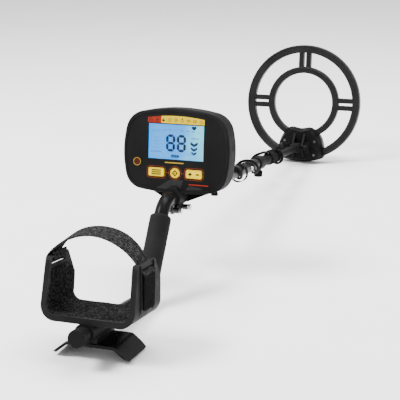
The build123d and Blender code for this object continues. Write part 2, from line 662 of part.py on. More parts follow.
def clamp_bolts():
    """Bolt of each band with its moulded spacer sleeve."""
    z = CLAMP_BOLT_Z
    bolts = []
    for y in BAND_YS:
        bolt = rod(2.2, (-4, y, z), (14.5, y, z)) + rod(4.2, (-6.4, y, z), (-2.3, y, z))
        bolts.append(bolt + pipe(4.4, 2.0, (2.3, y, z), (11.0, y, z)))
    return Compound(bolts)


def clamp_nuts():
    z = CLAMP_BOLT_Z
    nuts = []
    for y in BAND_YS:
        nuts.append(hexagon(8.0, (11.1, y, z), (15.6, y, z)) - rod(2.22, (10, y, z), (14.6, y, z)))
    return Compound(nuts)


# --- coil ----------------------------------------------------------------------------------------
def coil_turn(points):
    """Closed section in radius and Y, turned round the axis of the coil."""
    section = Plane.XY * make_face(Polyline(*points, close=True))
    return Pos(0, 0, COIL_Z) * revolve(section, Axis.Y)


def ring_half(r0, r1, front):
    """One half of a ring: a channel that holds a winding, with eased outer edges."""
    middle = COIL_Y + COIL_DEPTH / 2
    wall = 2.0
    ease = 2.6
    if front:
        floor = COIL_Y + wall + ease
        points = [(r0, middle), (r0, COIL_Y + ease), (r0 + ease, COIL_Y), (r1 - ease, COIL_Y)]
        points += [(r1, COIL_Y + ease), (r1, middle), (r1 - wall, middle), (r1 - wall, floor)]
        points += [(r0 + wall, floor), (r0 + wall, middle)]
    else:
        back = COIL_Y + COIL_DEPTH
        middle += FIT
        points = [(r0, middle), (r1, middle), (r1, back - ease), (r1 - ease, back)]
        points += [(r0 + ease, back), (r0, back - ease)]
    return coil_turn(points)


def bridge_plate(y0, y1):
    """Plate behind the housing that joins the two rings at their lower edge."""
    plate = slab_y(housing_outline(0.45), y0, y1)
    return plate - rod(INNER_IN, (0, y0 - 1, COIL_Z), (0, y1 + 1, COIL_Z))


def spokes(y0, y1):
    bars = []
    for turn in (0, 90, 270):
        for x in (-SPOKE_X, SPOKE_X):
            bar = block(x - SPOKE_W / 2, x + SPOKE_W / 2, y0, y1, INNER_OUT - 1.5, OUTER_IN + 1.5)
            bars.append(Pos(0, 0, COIL_Z) * Rot(Y=turn) * bar)
    return bars


def coil_upper_shell():
    middle = COIL_Y + COIL_DEPTH / 2
    shell = ring_half(OUTER_IN, COIL_R, True) + ring_half(INNER_IN, INNER_OUT, True)
    lip = [(COIL_R - 4.6, COIL_Y), (COIL_R - 3.4, COIL_Y - 1.6), (COIL_R - 1.6, COIL_Y - 1.6)]
    lip += [(COIL_R, COIL_Y + 1), (COIL_R, COIL_Y + 3), (COIL_R - 4.6, COIL_Y + 3)]
    shell += coil_turn(lip)
    shell += spokes(COIL_Y + 3, middle)
    bridge = bridge_plate(COIL_Y + 0.2, middle)
    for r0, r1 in ((OUTER_IN + 2, COIL_R - 2), (INNER_IN + 2, INNER_OUT - 2)):
        bridge -= pipe(r1, r0, (0, COIL_Y + 4.6, COIL_Z), (0, middle + 5, COIL_Z))
    seat = block(-52, 52, HOUSING_FRONT, COIL_Y + 0.2, 90, 182)
    return shell + bridge - seat


def coil_lower_shell():
    middle = COIL_Y + COIL_DEPTH / 2 + FIT
    back = COIL_Y + COIL_DEPTH
    shell = ring_half(OUTER_IN, COIL_R, False) + ring_half(INNER_IN, INNER_OUT, False)
    shell += spokes(middle, back - 3)
    return shell + bridge_plate(middle, back)


def winding(r0, r1):
    """Bundle of copper turns in the middle of a ring's channel."""
    half = COIL_DEPTH / 2
    mean = (r0 + r1) / 2
    start = COIL_Y + 4.8
    end = COIL_Y + half - 0.1
    return pipe(mean + WINDING_HALF, mean - WINDING_HALF, (0, start, COIL_Z), (0, end, COIL_Z))


def transmit_winding():
    return winding(OUTER_IN, COIL_R)


def receive_winding():
    return winding(INNER_IN, INNER_OUT)


def housing_outline(inset):
    """Bell shape over the lower edge of the coil, with two humps on its top edge."""
    i = inset
    low = COIL_Z - sqrt((SKIRT_R - i) ** 2 - (51 - i) ** 2)
    edges = ThreePointArc((-51 + i, low), (0, COIL_Z - SKIRT_R + i), (51 - i, low))
    edges += Line((51 - i, low), (51.5 - i, 124))
    edges += ThreePointArc((51.5 - i, 124), (43.5 - i, 158), (30 - i, 175 - i))
    crest = [(30 - i, 175 - i), (20, 178.6 - i), (0, 175.6 - i), (-20, 178.6 - i), (-30 + i, 175 - i)]
    edges += Spline(*crest)
    edges += ThreePointArc((-30 + i, 175 - i), (-43.5 + i, 158), (-51.5 + i, 124))
    edges += Line((-51.5 + i, 124), (-51 + i, low))
    return make_face(edges)


def housing_solid(inset, front):
    near = (Plane.XZ.offset(-front) * housing_outline(inset + 7)).face()
    far = (Plane.XZ.offset(-COIL_Y) * housing_outline(inset)).face()
    return loft([near, far], ruled=True)


def ear(side):
    """Triangular ear with a round tip, and the rib that carries it on to the lower edge."""
    x0 = side * EAR_IN
    x1 = side * (EAR_IN + EAR_THICK)
    tip = Pos(PIVOT_Y, SHAFT_Z) * Circle(8.5)
    root = HOUSING_FRONT + 2
    corners = [(PIVOT_Y - 3, SHAFT_Z + 7.9), (root, 167), (root, 106), (PIVOT_Y - 2, SHAFT_Z - 8.2)]
    web = make_face(Polyline(*corners, close=True))
    return slab_x(tip + web, min(x0, x1), max(x0, x1))


def coil_housing():
    body = housing_solid(0, HOUSING_FRONT)
    hollow = (Plane.XZ.offset(-HOUSING_FRONT - 2.4) * housing_outline(9.6)).face()
    hollow_far = (Plane.XZ.offset(-COIL_Y - 0.5) * housing_outline(2.4)).face()
    body -= loft([hollow, hollow_far], ruled=True)
    body += ear(1)
    body += ear(-1)
    for side in (-1, 1):
        low = HOUSING_FRONT - 1
        rib = Polyline((low, 113), (low, 132), (COIL_Y - 1, 150), (COIL_Y - 1, 113), close=True)
        body += slab_x(make_face(rib), side * 40 - 1.6, side * 40 + 1.6)
    body -= rod(COIL_BOLT_R + 0.02, (-30, PIVOT_Y, SHAFT_Z), (30, PIVOT_Y, SHAFT_Z))
    gx, _, gz = GLAND
    body -= rod(3.6, (gx, HOUSING_FRONT - 5, gz), (gx, HOUSING_FRONT + 6, gz))
    for x, z in HOUSING_SCREWS:
        body += rod(3.6, (x, HOUSING_FRONT + 1, z), (x, COIL_Y + 0.1, z))
        body -= rod(1.6, (x, HOUSING_FRONT - 1, z), (x, COIL_Y + 1, z))
        body -= rod(2.9, (x, HOUSING_FRONT - 1, z), (x, HOUSING_FRONT + 1.6, z))
    return body - block(-100, 100, COIL_Y + 0.15, COIL_Y + 5, 50, 250)


def housing_screws():
    screws = []
    for x, z in HOUSING_SCREWS:
        head = rod(2.7, (x, HOUSING_FRONT + 0.2, z), (x, HOUSING_FRONT + 1.5, z))
        screws.append(head + rod(1.5, (x, HOUSING_FRONT + 1.4, z), (x, COIL_Y + 0.1, z)))
    return Compound(screws)


def coil_bolt():
    out = EAR_IN + EAR_THICK
    bolt = rod(COIL_BOLT_R, (-out - 0.1, PIVOT_Y, SHAFT_Z), (out + 11, PIVOT_Y, SHAFT_Z))
    head = hexagon(11, (-out - 4.6, PIVOT_Y, SHAFT_Z), (-out - 0.1, PIVOT_Y, SHAFT_Z))
    return bolt + head


def wing_nut():
    out = EAR_IN + EAR_THICK + 0.2
    hub = rod(6.2, (out, PIVOT_Y, SHAFT_Z), (out + 9, PIVOT_Y, SHAFT_Z))
    hub = fillet(hub.edges().group_by(Axis.X)[-1], 1.5)
    for side in (-1, 1):
        z0, z1 = sorted((SHAFT_Z + side * 3, SHAFT_Z + side * 13))
        wing = block(out + 3, out + 13, PIVOT_Y - 2, PIVOT_Y + 2, z0, z1)
        hub += fillet(wing.edges().filter_by(Axis.Y), 2.5)
    return hub - rod(COIL_BOLT_R + 0.05, (0, PIVOT_Y, SHAFT_Z), (60, PIVOT_Y, SHAFT_Z))


def friction_washers():
    washers = []
    for side in (-1, 1):
        start = (side * (KNUCKLE_HALF + FIT), PIVOT_Y, SHAFT_Z)
        end = (side * (EAR_IN - FIT), PIVOT_Y, SHAFT_Z)
        washers.append(pipe(8.0, COIL_BOLT_R + FIT, start, end))
    return Compound(washers)


def cable_gland():
    gx, gy, gz = GLAND
    boot = Solid.make_cone(3.3, 5.2, HOUSING_FRONT - gy - 0.1, Plane(origin=GLAND, z_dir=(0, 1, 0)))
    boot += rod(3.5, (gx, HOUSING_FRONT - 0.2, gz), (gx, HOUSING_FRONT + 4, gz))
    return boot - rod(CABLE_R + 0.02, (gx, gy - 1, gz), (gx, HOUSING_FRONT + 1, gz))


# --- cable ---------------------------------------------------------------------------------------
def wind(y0, a0, y1, a1, radius0, radius1, steps):
    """Points wound on the shaft from angle a0 to a1, where 0 is the top and 90 the user's right."""
    points = []
    for n in range(steps + 1):
        t = n / steps
        a = radians(a0 + (a1 - a0) * t)
        r = radius0 + (radius1 - radius0) * t
        points.append((r * sin(a), y0 + (y1 - y0) * t, SHAFT_Z + r * cos(a)))
    return points


def cable_route():
    """Corner points of the cable, from the plug to the gland."""
    points = [(SOCKET_X, BACK_Y + 28, SOCKET_Z), (SOCKET_X, BACK_Y + 45, SOCKET_Z), (-25, 468, 158)]
    points += wind(492, -50, 690, 540, 15, 15, 13)
    points += wind(690, 540, 735, 720, 15, 15, 4)[1:]
    points += wind(735, 720, 792, 900, 15, 17.4, 4)[1:]
    points += wind(792, 900, 846, 1080, 17.4, 17.4, 4)[1:]
    points += [(0, 868, SHAFT_Z + 16.4), (0, 880, SHAFT_Z + 13.6), (0, 926, SHAFT_Z + 13.6)]
    points += wind(934, 1080, 958, 1260, 16.4, 16.8, 4)
    points += wind(958, 1260, 986, 1440, 16.8, 16.0, 4)[1:]
    points += [(-3, 1006, SHAFT_Z + 19), (-8, 1026, SHAFT_Z + 19.5), (-13, 1048, SHAFT_Z + 16)]
    points += [(-18, 1072, SHAFT_Z + 10.5), (-21, 1098, SHAFT_Z + 6)]
    points += [(GLAND[0], 1118, GLAND[2]), (GLAND[0], 1150, GLAND[2])]
    return [Vector(p) for p in points]


def corner_radius(before, corner, after):
    turn = (corner - before).get_angle(after - corner)
    shorter = min((corner - before).length, (after - corner).length)
    return 0.45 * shorter / tan(radians(turn) / 2)


def cable_pieces():
    """The cable cut where it passes from the upper tube to the middle tube, the lower rod and the coil."""
    route = cable_route()
    radii = [corner_radius(*route[n - 1:n + 2]) for n in range(1, len(route) - 1)]
    inner_cuts = [max(n for n in range(len(route)) if route[n].Y < y) for y in CABLE_CUTS]
    cuts = [0] + inner_cuts + [len(route) - 2]
    pieces = {}
    total = 0
    for name, first, last in zip(CABLE_NAMES, cuts, cuts[1:]):
        start = route[0] if first == 0 else (route[first] + route[first + 1]) * 0.5
        end = route[-1] if last == len(route) - 2 else (route[last] + route[last + 1]) * 0.5
        inner = route[first + 1:last + 1]
        path = FilletPolyline(start, *inner, end, radius=radii[first:last])
        section = Plane(origin=path @ 0, z_dir=path % 0) * Circle(CABLE_R)
        solid = sweep(section, path=path)
        length = path.length
        total += length
        share = solid.volume / (length * pi * CABLE_R ** 2)
        tightest = min(radii[first:last])
        print(name, "length", round(length, 1), "volume share", round(share, 4))
        print(name, "tightest bend", round(tightest, 1))
        pieces[name] = solid
    print("cable length", round(total))
    return pieces


def rear_tie():
    """Loose loop of hook-and-loop tape round the upper tube and a turn of the cable."""
    z = SHAFT_Z + TUBE_R + 0.2 - 15.5
    return pipe(17.1, 15.5, (0, 684, z), (0, 696, z))


def front_tie():
    """Hook-and-loop tape round the middle tube and the straight stretch of cable on top of it."""
    grow = 1.9
    hollow = make_hull((Circle(MIDDLE_R + 0.25) + Pos(0, 13.6) * Circle(CABLE_R + 0.45)).edges())
    outline = Circle(MIDDLE_R + 0.25 + grow) + Pos(0, 13.6) * Circle(CABLE_R + 0.45 + grow)
    skin = make_hull(outline.edges())
    return slab_y(Pos(0, SHAFT_Z) * (skin - hollow), 886, 920)


# --- all pieces ----------------------------------------------------------------------------------
def all_parts():
    makers = [s_tube, end_cap, grip_sleeve, middle_tube, snap_clip, clamp_collar, lock_knob, twist_lock,
              guide_bush, lower_rod, rod_end_plug, rod_knuckle,
              arm_cuff, cuff_pad, cuff_mount, cuff_strap, foot_stand, cuff_bolts, cuff_nuts,
              front_cover, face_panel, lcd_window, lcd_module, keypad_mat, power_button, menu_button,
              pinpoint_button, plus_minus_button, rear_shell, case_screws, circuit_board, speaker,
              battery_tray, batteries, battery_snaps, battery_door, headphone_jack,
              coil_socket, cable_plug, plug_ring, box_bracket, clamp_bands, clamp_bolts, clamp_nuts,
              coil_upper_shell, coil_lower_shell, transmit_winding, receive_winding, coil_housing,
              housing_screws, coil_bolt, wing_nut, friction_washers, cable_gland, front_tie, rear_tie]
    parts = {maker.__name__: maker() for maker in makers}
    parts.update(cable_pieces())
    return parts


def stand_up(parts):
    """Pitch the object onto the floor, with the origin under the middle of its bounding box."""
    pitched = {name: Rot(X=-FLOOR_PITCH) * shape for name, shape in parts.items()}
    box = Compound(children=[Compound(s.solids()) for s in pitched.values()]).bounding_box()
    shift = Pos(-(box.min.X + box.max.X) / 2, -(box.min.Y + box.max.Y) / 2, -box.min.Z)
    print("shift", -(box.min.X + box.max.X) / 2, -(box.min.Y + box.max.Y) / 2, -box.min.Z)
    return {name: shift * shape for name, shape in pitched.items()}


os.makedirs("parts", exist_ok=True)
for node, shape in stand_up(all_parts()).items():
    export_step(shape, f"parts/{node}.step")
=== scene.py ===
"""Metal detector: the looks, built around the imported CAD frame.

Pieces are drawn in millimetres in the tube frame of the detector: its origin is the middle of the
rear end cap, +Y runs forward along the rear tube, +X is to the user's right. TUBE takes a point of
that frame to the row frame in metres.
"""

import json
import random
from math import asin, atan2, cos, exp, pi, radians, sin, sqrt

import bmesh
import bpy
from mathutils import Matrix, Vector, noise


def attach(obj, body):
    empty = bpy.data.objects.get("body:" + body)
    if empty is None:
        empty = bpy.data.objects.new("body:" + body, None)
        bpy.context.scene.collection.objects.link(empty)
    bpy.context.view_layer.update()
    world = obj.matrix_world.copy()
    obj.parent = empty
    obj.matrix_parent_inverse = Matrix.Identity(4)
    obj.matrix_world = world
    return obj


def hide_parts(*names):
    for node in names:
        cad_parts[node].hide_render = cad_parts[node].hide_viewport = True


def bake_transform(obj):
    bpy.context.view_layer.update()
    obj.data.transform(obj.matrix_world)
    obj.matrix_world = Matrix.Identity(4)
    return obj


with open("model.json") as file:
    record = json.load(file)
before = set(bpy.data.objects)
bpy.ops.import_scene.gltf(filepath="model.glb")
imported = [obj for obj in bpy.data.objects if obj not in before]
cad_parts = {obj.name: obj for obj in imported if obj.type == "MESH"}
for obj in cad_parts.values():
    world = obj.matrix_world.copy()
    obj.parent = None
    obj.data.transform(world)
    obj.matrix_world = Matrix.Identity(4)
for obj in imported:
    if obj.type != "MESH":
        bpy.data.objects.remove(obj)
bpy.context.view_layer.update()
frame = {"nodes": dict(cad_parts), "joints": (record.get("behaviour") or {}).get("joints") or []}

NODES = frame["nodes"]
JOINTS = {j["name"]: j for j in frame["joints"]}

# --- tube frame ----------------------------------------------------------------------------------
MM = 0.001
PIVOT_Y = 1136.0         # the axis the coil tilts on, along the shaft
SHAFT_Z = 135.0          # height of the shaft over the rear tube
RIGHT = Vector((1, 0, 0))
FORWARD = Vector(JOINTS["middle_slide"]["axis"]).normalized()
UP = RIGHT.cross(FORWARD)
TURN = Matrix((RIGHT, FORWARD, UP)).transposed()
ORIGIN = Vector(JOINTS["coil_tilt"]["pos_m"]) - TURN @ Vector((0, PIVOT_Y, SHAFT_Z)) * MM
TUBE = Matrix.Translation(ORIGIN) @ TURN.to_4x4() @ Matrix.Scale(MM, 4)

# --- sizes of the CAD parts that the pieces lie on -----------------------------------------------
LOW_BEND_Y = 234.7       # the tube slants up between its two bends
TOP_BEND_Y = 305.4
TUBE_R = 11.0
GRIP_R = 16.5
GRIP_LENGTH = 103.0
CUFF_HALF = 67.5
CUFF_BOTTOM = 11.0
CUFF_CORNER = 21.0
CUFF_WALL = 4.0
CUFF_LEAN = 2.5 / 91.0   # how far a wall of the cuff leans inwards over its height
CUFF_OPEN_Z = 55         # a height in the open middle of the cuff
SLOT_Z = 82.5            # the slots that the strap goes through
PANEL_Y = 350.0
ARCH_R = 15.5            # the panel's round notch over the shaft
LCD_FRONT_Y = 352.4
LCD_W = 90.0
KEY_FRONT_Y = 349.0
KEY_X = 30.8
KEY_Z = 170.8
KEY_W = 26.4
KEY_H = 13.4
PINPOINT_R = 7.8
POWER_X = -63.0
POWER_Z = 185.2
POWER_R = 6.7
BACK_Y = 405.0           # back of the box, where the cable starts
SOCKET_X = -32.0
SOCKET_Z = 172.0
GLAND = (-21.0, 1136.0, 140.0)
CABLE_R = 2.5

# --- sizes of the drawn pieces -------------------------------------------------------------------
GRIP_ROLL = 4.5          # radius of the grip's rolled ends
PAD_LOW_Z = 2            # the lining's edges are placed from here up
PAD_REAR_Y = 33.2
PAD_REAR_LEAN = 16.0     # how much further forward the rear edge is at the top
PAD_REAR_HEIGHT = 74.0
PAD_FRONT_Y = 121.0
PAD_CUT_Z = 60           # the front corner is cut back over this height
PAD_CUT = 20.0
PAD_CUT_HEIGHT = 15.0
PAD_TOP = PAD_CUT_Z + PAD_CUT_HEIGHT
PAD_THICK = 4.3
PAD_ROUND = 4.5          # how far in from its edges the lining has its full thickness
PAD_STEP = 2.0           # spacing of the lining's points along the U
FIBRES = 2600
FIBRE_R = 0.11
STRAP_WIDTH = 40.0
STRAP_THICK = 1.9
STRAP_Y = 74.0
STRAP_CROWN = 128.0
STRAP_SLOPE = 3.2        # how far the strap's edges sit above or below its middle at the crown
SLOPE_START_Z = 94       # the slope sets in over this height ...
SLOPE_RUN = 26           # ... and is full this much higher
END_CORNER = 3.5         # radius of the corners at the ends of a strap
FRONT_TIE_Y = 903
REAR_TIE_Y = 690
CABLE_LIFT = 13.6        # the cable's middle over the shaft's where the front tie holds them
REAR_LOOP_R = 16.3
PRINT = 0.12             # thickness of printed graphics
STRIP_LOW_Z = 247.2      # the row of symbols: its straight lower edge and arched upper one
STRIP_SIDE_Z = 255.0
STRIP_RISE = 4.0
STRIP_ARCH = 46.6
HALO_OUT = 2.7           # edges of the thin frame round a key, outwards from the key
HALO_IN = 2.2

rng = random.Random(7)


# --- mesh helpers --------------------------------------------------------------------------------
def piece(name, verts, faces, material, body=None, smooth=True):
    """A mesh drawn in the tube frame, with its normals turned outwards."""
    mesh = bpy.data.meshes.new(name)
    mesh.from_pydata([TUBE @ Vector(v) for v in verts], [], faces)
    bm = bmesh.new()
    bm.from_mesh(mesh)
    bmesh.ops.remove_doubles(bm, verts=bm.verts, dist=1e-7)
    bmesh.ops.recalc_face_normals(bm, faces=bm.faces)
    bm.to_mesh(mesh)
    bm.free()
    mesh.materials.append(material)
    for polygon in mesh.polygons:
        polygon.use_smooth = smooth
    obj = bpy.data.objects.new(name, mesh)
    bpy.context.scene.collection.objects.link(obj)
    if body:
        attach(obj, body)
    return obj


def loft(rings, capped=True):
    """Skin over closed rings of equally many points. capped closes the ends."""
    n = len(rings[0])
    verts = [p for ring in rings for p in ring]
    faces = []
    for i in range(len(rings) - 1):
        for k in range(n):
            a = i * n + k
            b = i * n + (k + 1) % n
            faces.append((a, b, b + n, a + n))
    if capped:
        faces.append(tuple(range(n)))
        faces.append(tuple(range(len(verts) - n, len(verts))))
    return verts, faces


def tube_mesh(path, radius, sides=20):
    """A round tube along points, its section carried along without twist."""
    rings = []
    normal = None
    for i, p in enumerate(path):
        ahead = path[min(i + 1, len(path) - 1)] - path[max(i - 1, 0)]
        ahead.normalize()
        if normal is None:
            normal = ahead.orthogonal().normalized()
        normal = (normal - ahead * normal.dot(ahead)).normalized()
        side = ahead.cross(normal)
        angles = [2 * pi * k / sides for k in range(sides)]
        rings.append([p + normal * radius * cos(a) + side * radius * sin(a) for a in angles])
    return loft(rings)


def prism(outline, y0, y1):
    """Solid between y0 and y1 over an outline of (x, z) points."""
    return loft([[(x, y0, z) for x, z in outline], [(x, y1, z) for x, z in outline]])


def band(outer, inner, y0, y1):
    """Solid frame between two outlines of equally many (x, z) points."""
    n = len(outer)
    verts = [(x, y, z) for y in (y0, y1) for line in (outer, inner) for x, z in line]
    faces = []
    for k in range(n):
        m = (k + 1) % n
        faces.append((k, m, n + m, n + k))
        faces.append((2 * n + k, 2 * n + m, 3 * n + m, 3 * n + k))
        faces.append((k, m, 2 * n + m, 2 * n + k))
        faces.append((n + k, n + m, 3 * n + m, 3 * n + k))
    return verts, faces


def joined(*parts):
    """Several (verts, faces) as one."""
    verts = []
    faces = []
    for v, f in parts:
        base = len(verts)
        verts.extend(v)
        faces.extend(tuple(i + base for i in face) for face in f)
    return verts, faces


def circle(x, z, r, count=48):
    angles = [2 * pi * k / count for k in range(count)]
    return [(x + r * cos(a), z + r * sin(a)) for a in angles]


def rounded(x, z, w, h, r, steps=8):
    """Outline of a rounded rectangle."""
    points = []
    for cx, cz, start in ((1, 1, 0), (-1, 1, 90), (-1, -1, 180), (1, -1, 270)):
        for k in range(steps + 1):
            a = radians(start + 90 * k / steps)
            points.append((x + cx * (w / 2 - r) + r * cos(a), z + cz * (h / 2 - r) + r * sin(a)))
    return points


def rect(x, z, w, h):
    return [(x + cx * w / 2, z + cz * h / 2) for cx, cz in ((-1, -1), (1, -1), (1, 1), (-1, 1))]


# --- material helpers ----------------------------------------------------------------------------
def new_material(name, rough, metal=0.0, specular=0.5):
    material = bpy.data.materials.new(name)
    material.use_nodes = True
    nodes = material.node_tree.nodes
    shader = nodes["Principled BSDF"]
    shader.inputs["Roughness"].default_value = rough
    shader.inputs["Metallic"].default_value = metal
    shader.inputs["Specular IOR Level"].default_value = specular
    return material, shader


class Wiring:
    """Short ways to add and join shader nodes."""

    def __init__(self, material, coords="Object"):
        self.nodes = material.node_tree.nodes
        self.links = material.node_tree.links
        self.where = self.nodes.new("ShaderNodeTexCoord").outputs[coords]

    def along_x(self):
        """The place along X in the material's coordinates."""
        split = self.nodes.new("ShaderNodeSeparateXYZ")
        self.links.new(self.where, split.inputs["Vector"])
        return split.outputs["X"]

    def noise(self, scale, detail=3.0, distortion=0.0):
        node = self.nodes.new("ShaderNodeTexNoise")
        node.inputs["Scale"].default_value = scale
        node.inputs["Detail"].default_value = detail
        node.inputs["Distortion"].default_value = distortion
        self.links.new(self.where, node.inputs["Vector"])
        return node.outputs["Fac"]

    def ramp(self, value, stops):
        node = self.nodes.new("ShaderNodeValToRGB")
        elements = node.color_ramp.elements
        while len(elements) < len(stops):
            elements.new(0.5)
        for element, (at, color) in zip(elements, stops):
            element.position = at
            element.color = (*color, 1)
        self.links.new(value, node.inputs["Fac"])
        return node.outputs["Color"]

    def map(self, value, low, high, start=0.3, end=0.7):
        node = self.nodes.new("ShaderNodeMapRange")
        node.inputs["From Min"].default_value = start
        node.inputs["From Max"].default_value = end
        node.inputs["To Min"].default_value = low
        node.inputs["To Max"].default_value = high
        self.links.new(value, node.inputs["Value"])
        return node.outputs["Result"]

    def math(self, operation, a, b):
        node = self.nodes.new("ShaderNodeMath")
        node.operation = operation
        for socket, value in zip(node.inputs, (a, b)):
            if isinstance(value, (int, float)):
                socket.default_value = value
            else:
                self.links.new(value, socket)
        return node.outputs["Value"]

    def mix(self, factor, a, b):
        node = self.nodes.new("ShaderNodeMix")
        node.data_type = "RGBA"
        self.links.new(factor, node.inputs["Factor"])
        for name, value in (("A", a), ("B", b)):
            socket = [s for s in node.inputs if s.name == name and s.type == "RGBA"][0]
            if isinstance(value, tuple):
                socket.default_value = (*value, 1)
            else:
                self.links.new(value, socket)
        return [s for s in node.outputs if s.type == "RGBA"][0]

    def bump(self, shader, height, strength, distance):
        node = self.nodes.new("ShaderNodeBump")
        node.inputs["Strength"].default_value = strength
        node.inputs["Distance"].default_value = distance
        self.links.new(height, node.inputs["Height"])
        self.links.new(node.outputs["Normal"], shader.inputs["Normal"])

    def edges(self, radius, start, end):
        """1 along sharp edges and 0 on flat faces."""
        soft = self.nodes.new("ShaderNodeBevel")
        soft.inputs["Radius"].default_value = radius
        plain = self.nodes.new("ShaderNodeNewGeometry")
        dot = self.nodes.new("ShaderNodeVectorMath")
        dot.operation = "DOT_PRODUCT"
        self.links.new(soft.outputs["Normal"], dot.inputs[0])
        self.links.new(plain.outputs["Normal"], dot.inputs[1])
        return self.map(dot.outputs["Value"], 1.0, 0.0, start, end)


def plastic(name, dark, light, rough, grain, grain_mm=0.6, specular=0.5, edge=None):
    """Moulded or coated surface: broad tone changes, fine texture, uneven gloss, and a painted
    highlight that makes sharp edges paler.
    """
    material, shader = new_material(name, rough, specular=specular)
    w = Wiring(material)
    color = w.ramp(w.noise(22, 4), [(0.32, dark), (0.68, light)])
    # edge: colour of a painted highlight along sharp edges, broken up by noise
    if edge is not None:
        highlight_breakup = w.map(w.noise(130, 4), 0.25, 1.0)
        edge_highlight = w.math("MULTIPLY", w.edges(0.0006, 0.90, 0.995), highlight_breakup)
        color = w.mix(edge_highlight, color, edge)
    w.links.new(color, shader.inputs["Base Color"])
    gloss = w.map(w.noise(75, 5), max(rough - 0.06, 0.03), rough + 0.07)
    w.links.new(gloss, shader.inputs["Roughness"])
    w.bump(shader, w.noise(1000 / grain_mm, 2), grain, 0.00025)
    return material


def grey(v, blue=1.03):
    return (v, v, v * blue)


def metal(name, dark, light, rough, brushed=0.2):
    """Bare metal with uneven tarnish and fine drawn lines."""
    material, shader = new_material(name, rough, metal=1.0)
    w = Wiring(material)
    color = w.ramp(w.noise(60, 5), [(0.3, dark), (0.7, light)])
    w.links.new(color, shader.inputs["Base Color"])
    w.links.new(w.map(w.noise(240, 5), rough - 0.05, rough + 0.12), shader.inputs["Roughness"])
    w.bump(shader, w.noise(900, 6, 1.5), brushed, 0.0001)
    return material


def loop_fabric(name, dark, light, scale=1.0, coords="Object", ribs=0.0, pile_end=None):
    """Looped pile: a speckle of lit and shaded loops over cross ribs, darker and plainer webbing
    past pile_end, which is in metres along the strap."""
    material, shader = new_material(name, 0.92, specular=0.03)
    w = Wiring(material, coords)
    fine = w.noise(620 * scale, 4, 1.2)
    coarse = w.noise(240 * scale, 3, 0.6)
    speck = w.math("ADD", w.math("MULTIPLY", fine, 0.65), w.math("MULTIPLY", coarse, 0.35))
    if pile_end is not None:
        pile = w.map(w.along_x(), 1.0, 0.0, pile_end, pile_end + 0.004)
        speck = w.math("MULTIPLY", speck, w.math("ADD", w.math("MULTIPLY", pile, 0.35), 0.65))
    w.links.new(w.ramp(speck, [(0.47, dark), (0.60, light)]), shader.inputs["Base Color"])
    height = speck
    if ribs:
        wave = w.nodes.new("ShaderNodeTexWave")
        wave.inputs["Scale"].default_value = ribs
        wave.inputs["Distortion"].default_value = 0.6
        w.links.new(w.where, wave.inputs["Vector"])
        height = w.math("ADD", speck, w.math("MULTIPLY", wave.outputs["Fac"], 0.35))
    w.bump(shader, height, 0.9, 0.0011)
    return material


def printed(name, dark, light, glow=0.0):
    """Ink: slightly uneven colour with a fine screen-print grain."""
    material, shader = new_material(name, 0.45, specular=0.10)
    w = Wiring(material)
    color = w.ramp(w.noise(260, 4), [(0.3, dark), (0.7, light)])
    w.links.new(color, shader.inputs["Base Color"])
    if glow:
        w.links.new(color, shader.inputs["Emission Color"])
        shader.inputs["Emission Strength"].default_value = glow
    w.bump(shader, w.noise(2600, 2), 0.08, 0.0001)
    return material


def backlight(name):
    """Display: pale sky blue, brighter towards the lamps at its right end."""
    material, shader = new_material(name, 0.5)
    w = Wiring(material)
    across = w.map(w.along_x(), 0.0, 1.0, -LCD_W / 2 * MM, LCD_W / 2 * MM)
    uneven = w.math("ADD", across, w.map(w.noise(38, 2), -0.12, 0.12))
    blue, sky = (0.0, 0.34, 1.0), (0.16, 0.80, 1.0)
    lit = w.ramp(uneven, [(0.0, blue), (0.55, (0.0, 0.32, 1.0)), (1.0, sky)])
    w.links.new(lit, shader.inputs["Emission Color"])
    unlit = w.ramp(uneven, [(0.0, (0.02, 0.06, 0.10)), (1.0, (0.03, 0.08, 0.12))])
    w.links.new(unlit, shader.inputs["Base Color"])
    shader.inputs["Emission Strength"].default_value = 1.5
    return material


def clear_window(name):
    """Thin clear sheet that hardly bends the light."""
    material, shader = new_material(name, 0.03)
    shader.inputs["Transmission Weight"].default_value = 1.0
    shader.inputs["IOR"].default_value = 1.15
    w = Wiring(material)
    color = w.ramp(w.noise(30, 2), [(0.3, (0.95, 0.97, 1.0)), (0.7, (1, 1, 1))])
    w.links.new(color, shader.inputs["Base Color"])
    w.links.new(w.map(w.noise(90, 4), 0.01, 0.05), shader.inputs["Roughness"])
    return material


# --- materials -----------------------------------------------------------------------------------
# edge= gives the colour of a painted highlight along sharp edges
TUBE_BLACK = plastic("tube_black", grey(0.0055), grey(0.0090), 0.26, grain=0.05, grain_mm=1.4,
                     specular=0.04)
SHAFT_BLACK = plastic("shaft_black", grey(0.0060), grey(0.0095), 0.42, grain=0.06, specular=0.008)
ROD_BLACK = plastic("rod_black", grey(0.0060), grey(0.0095), 0.42, grain=0.12, specular=0.02)
FOAM = plastic("grip_foam", grey(0.0050), grey(0.0085), 0.75, grain=0.60, grain_mm=0.9,
               specular=0.10)
SHELL = plastic("shell_black", grey(0.0075), grey(0.0115), 0.46, grain=0.22, grain_mm=0.7,
                specular=0.01, edge=grey(0.035))
PANEL = plastic("panel_dark", grey(0.0050, 1.0), grey(0.0070, 1.0), 0.50, grain=0.10,
                grain_mm=0.5, specular=0.05)
# Paler grey for the chin's facets: painted highlight where they face the light
CHIN_HIGHLIGHT = plastic("chin_highlight", grey(0.012), grey(0.018), 0.45, grain=0.10, grain_mm=0.5,
                      specular=0.10)
CUFF = plastic("cuff_dark", grey(0.0085, 1.0), grey(0.0125, 1.0), 0.50, grain=0.25, grain_mm=0.8,
               specular=0.03, edge=grey(0.035))
FOOT = plastic("foot_gloss", grey(0.0035), grey(0.0060), 0.30, grain=0.10, grain_mm=1.2,
               specular=0.06, edge=grey(0.04))
COIL = plastic("coil_black", grey(0.0070, 1.0), grey(0.0105, 1.0), 0.36, grain=0.22, grain_mm=0.8,
               specular=0.08, edge=grey(0.05))
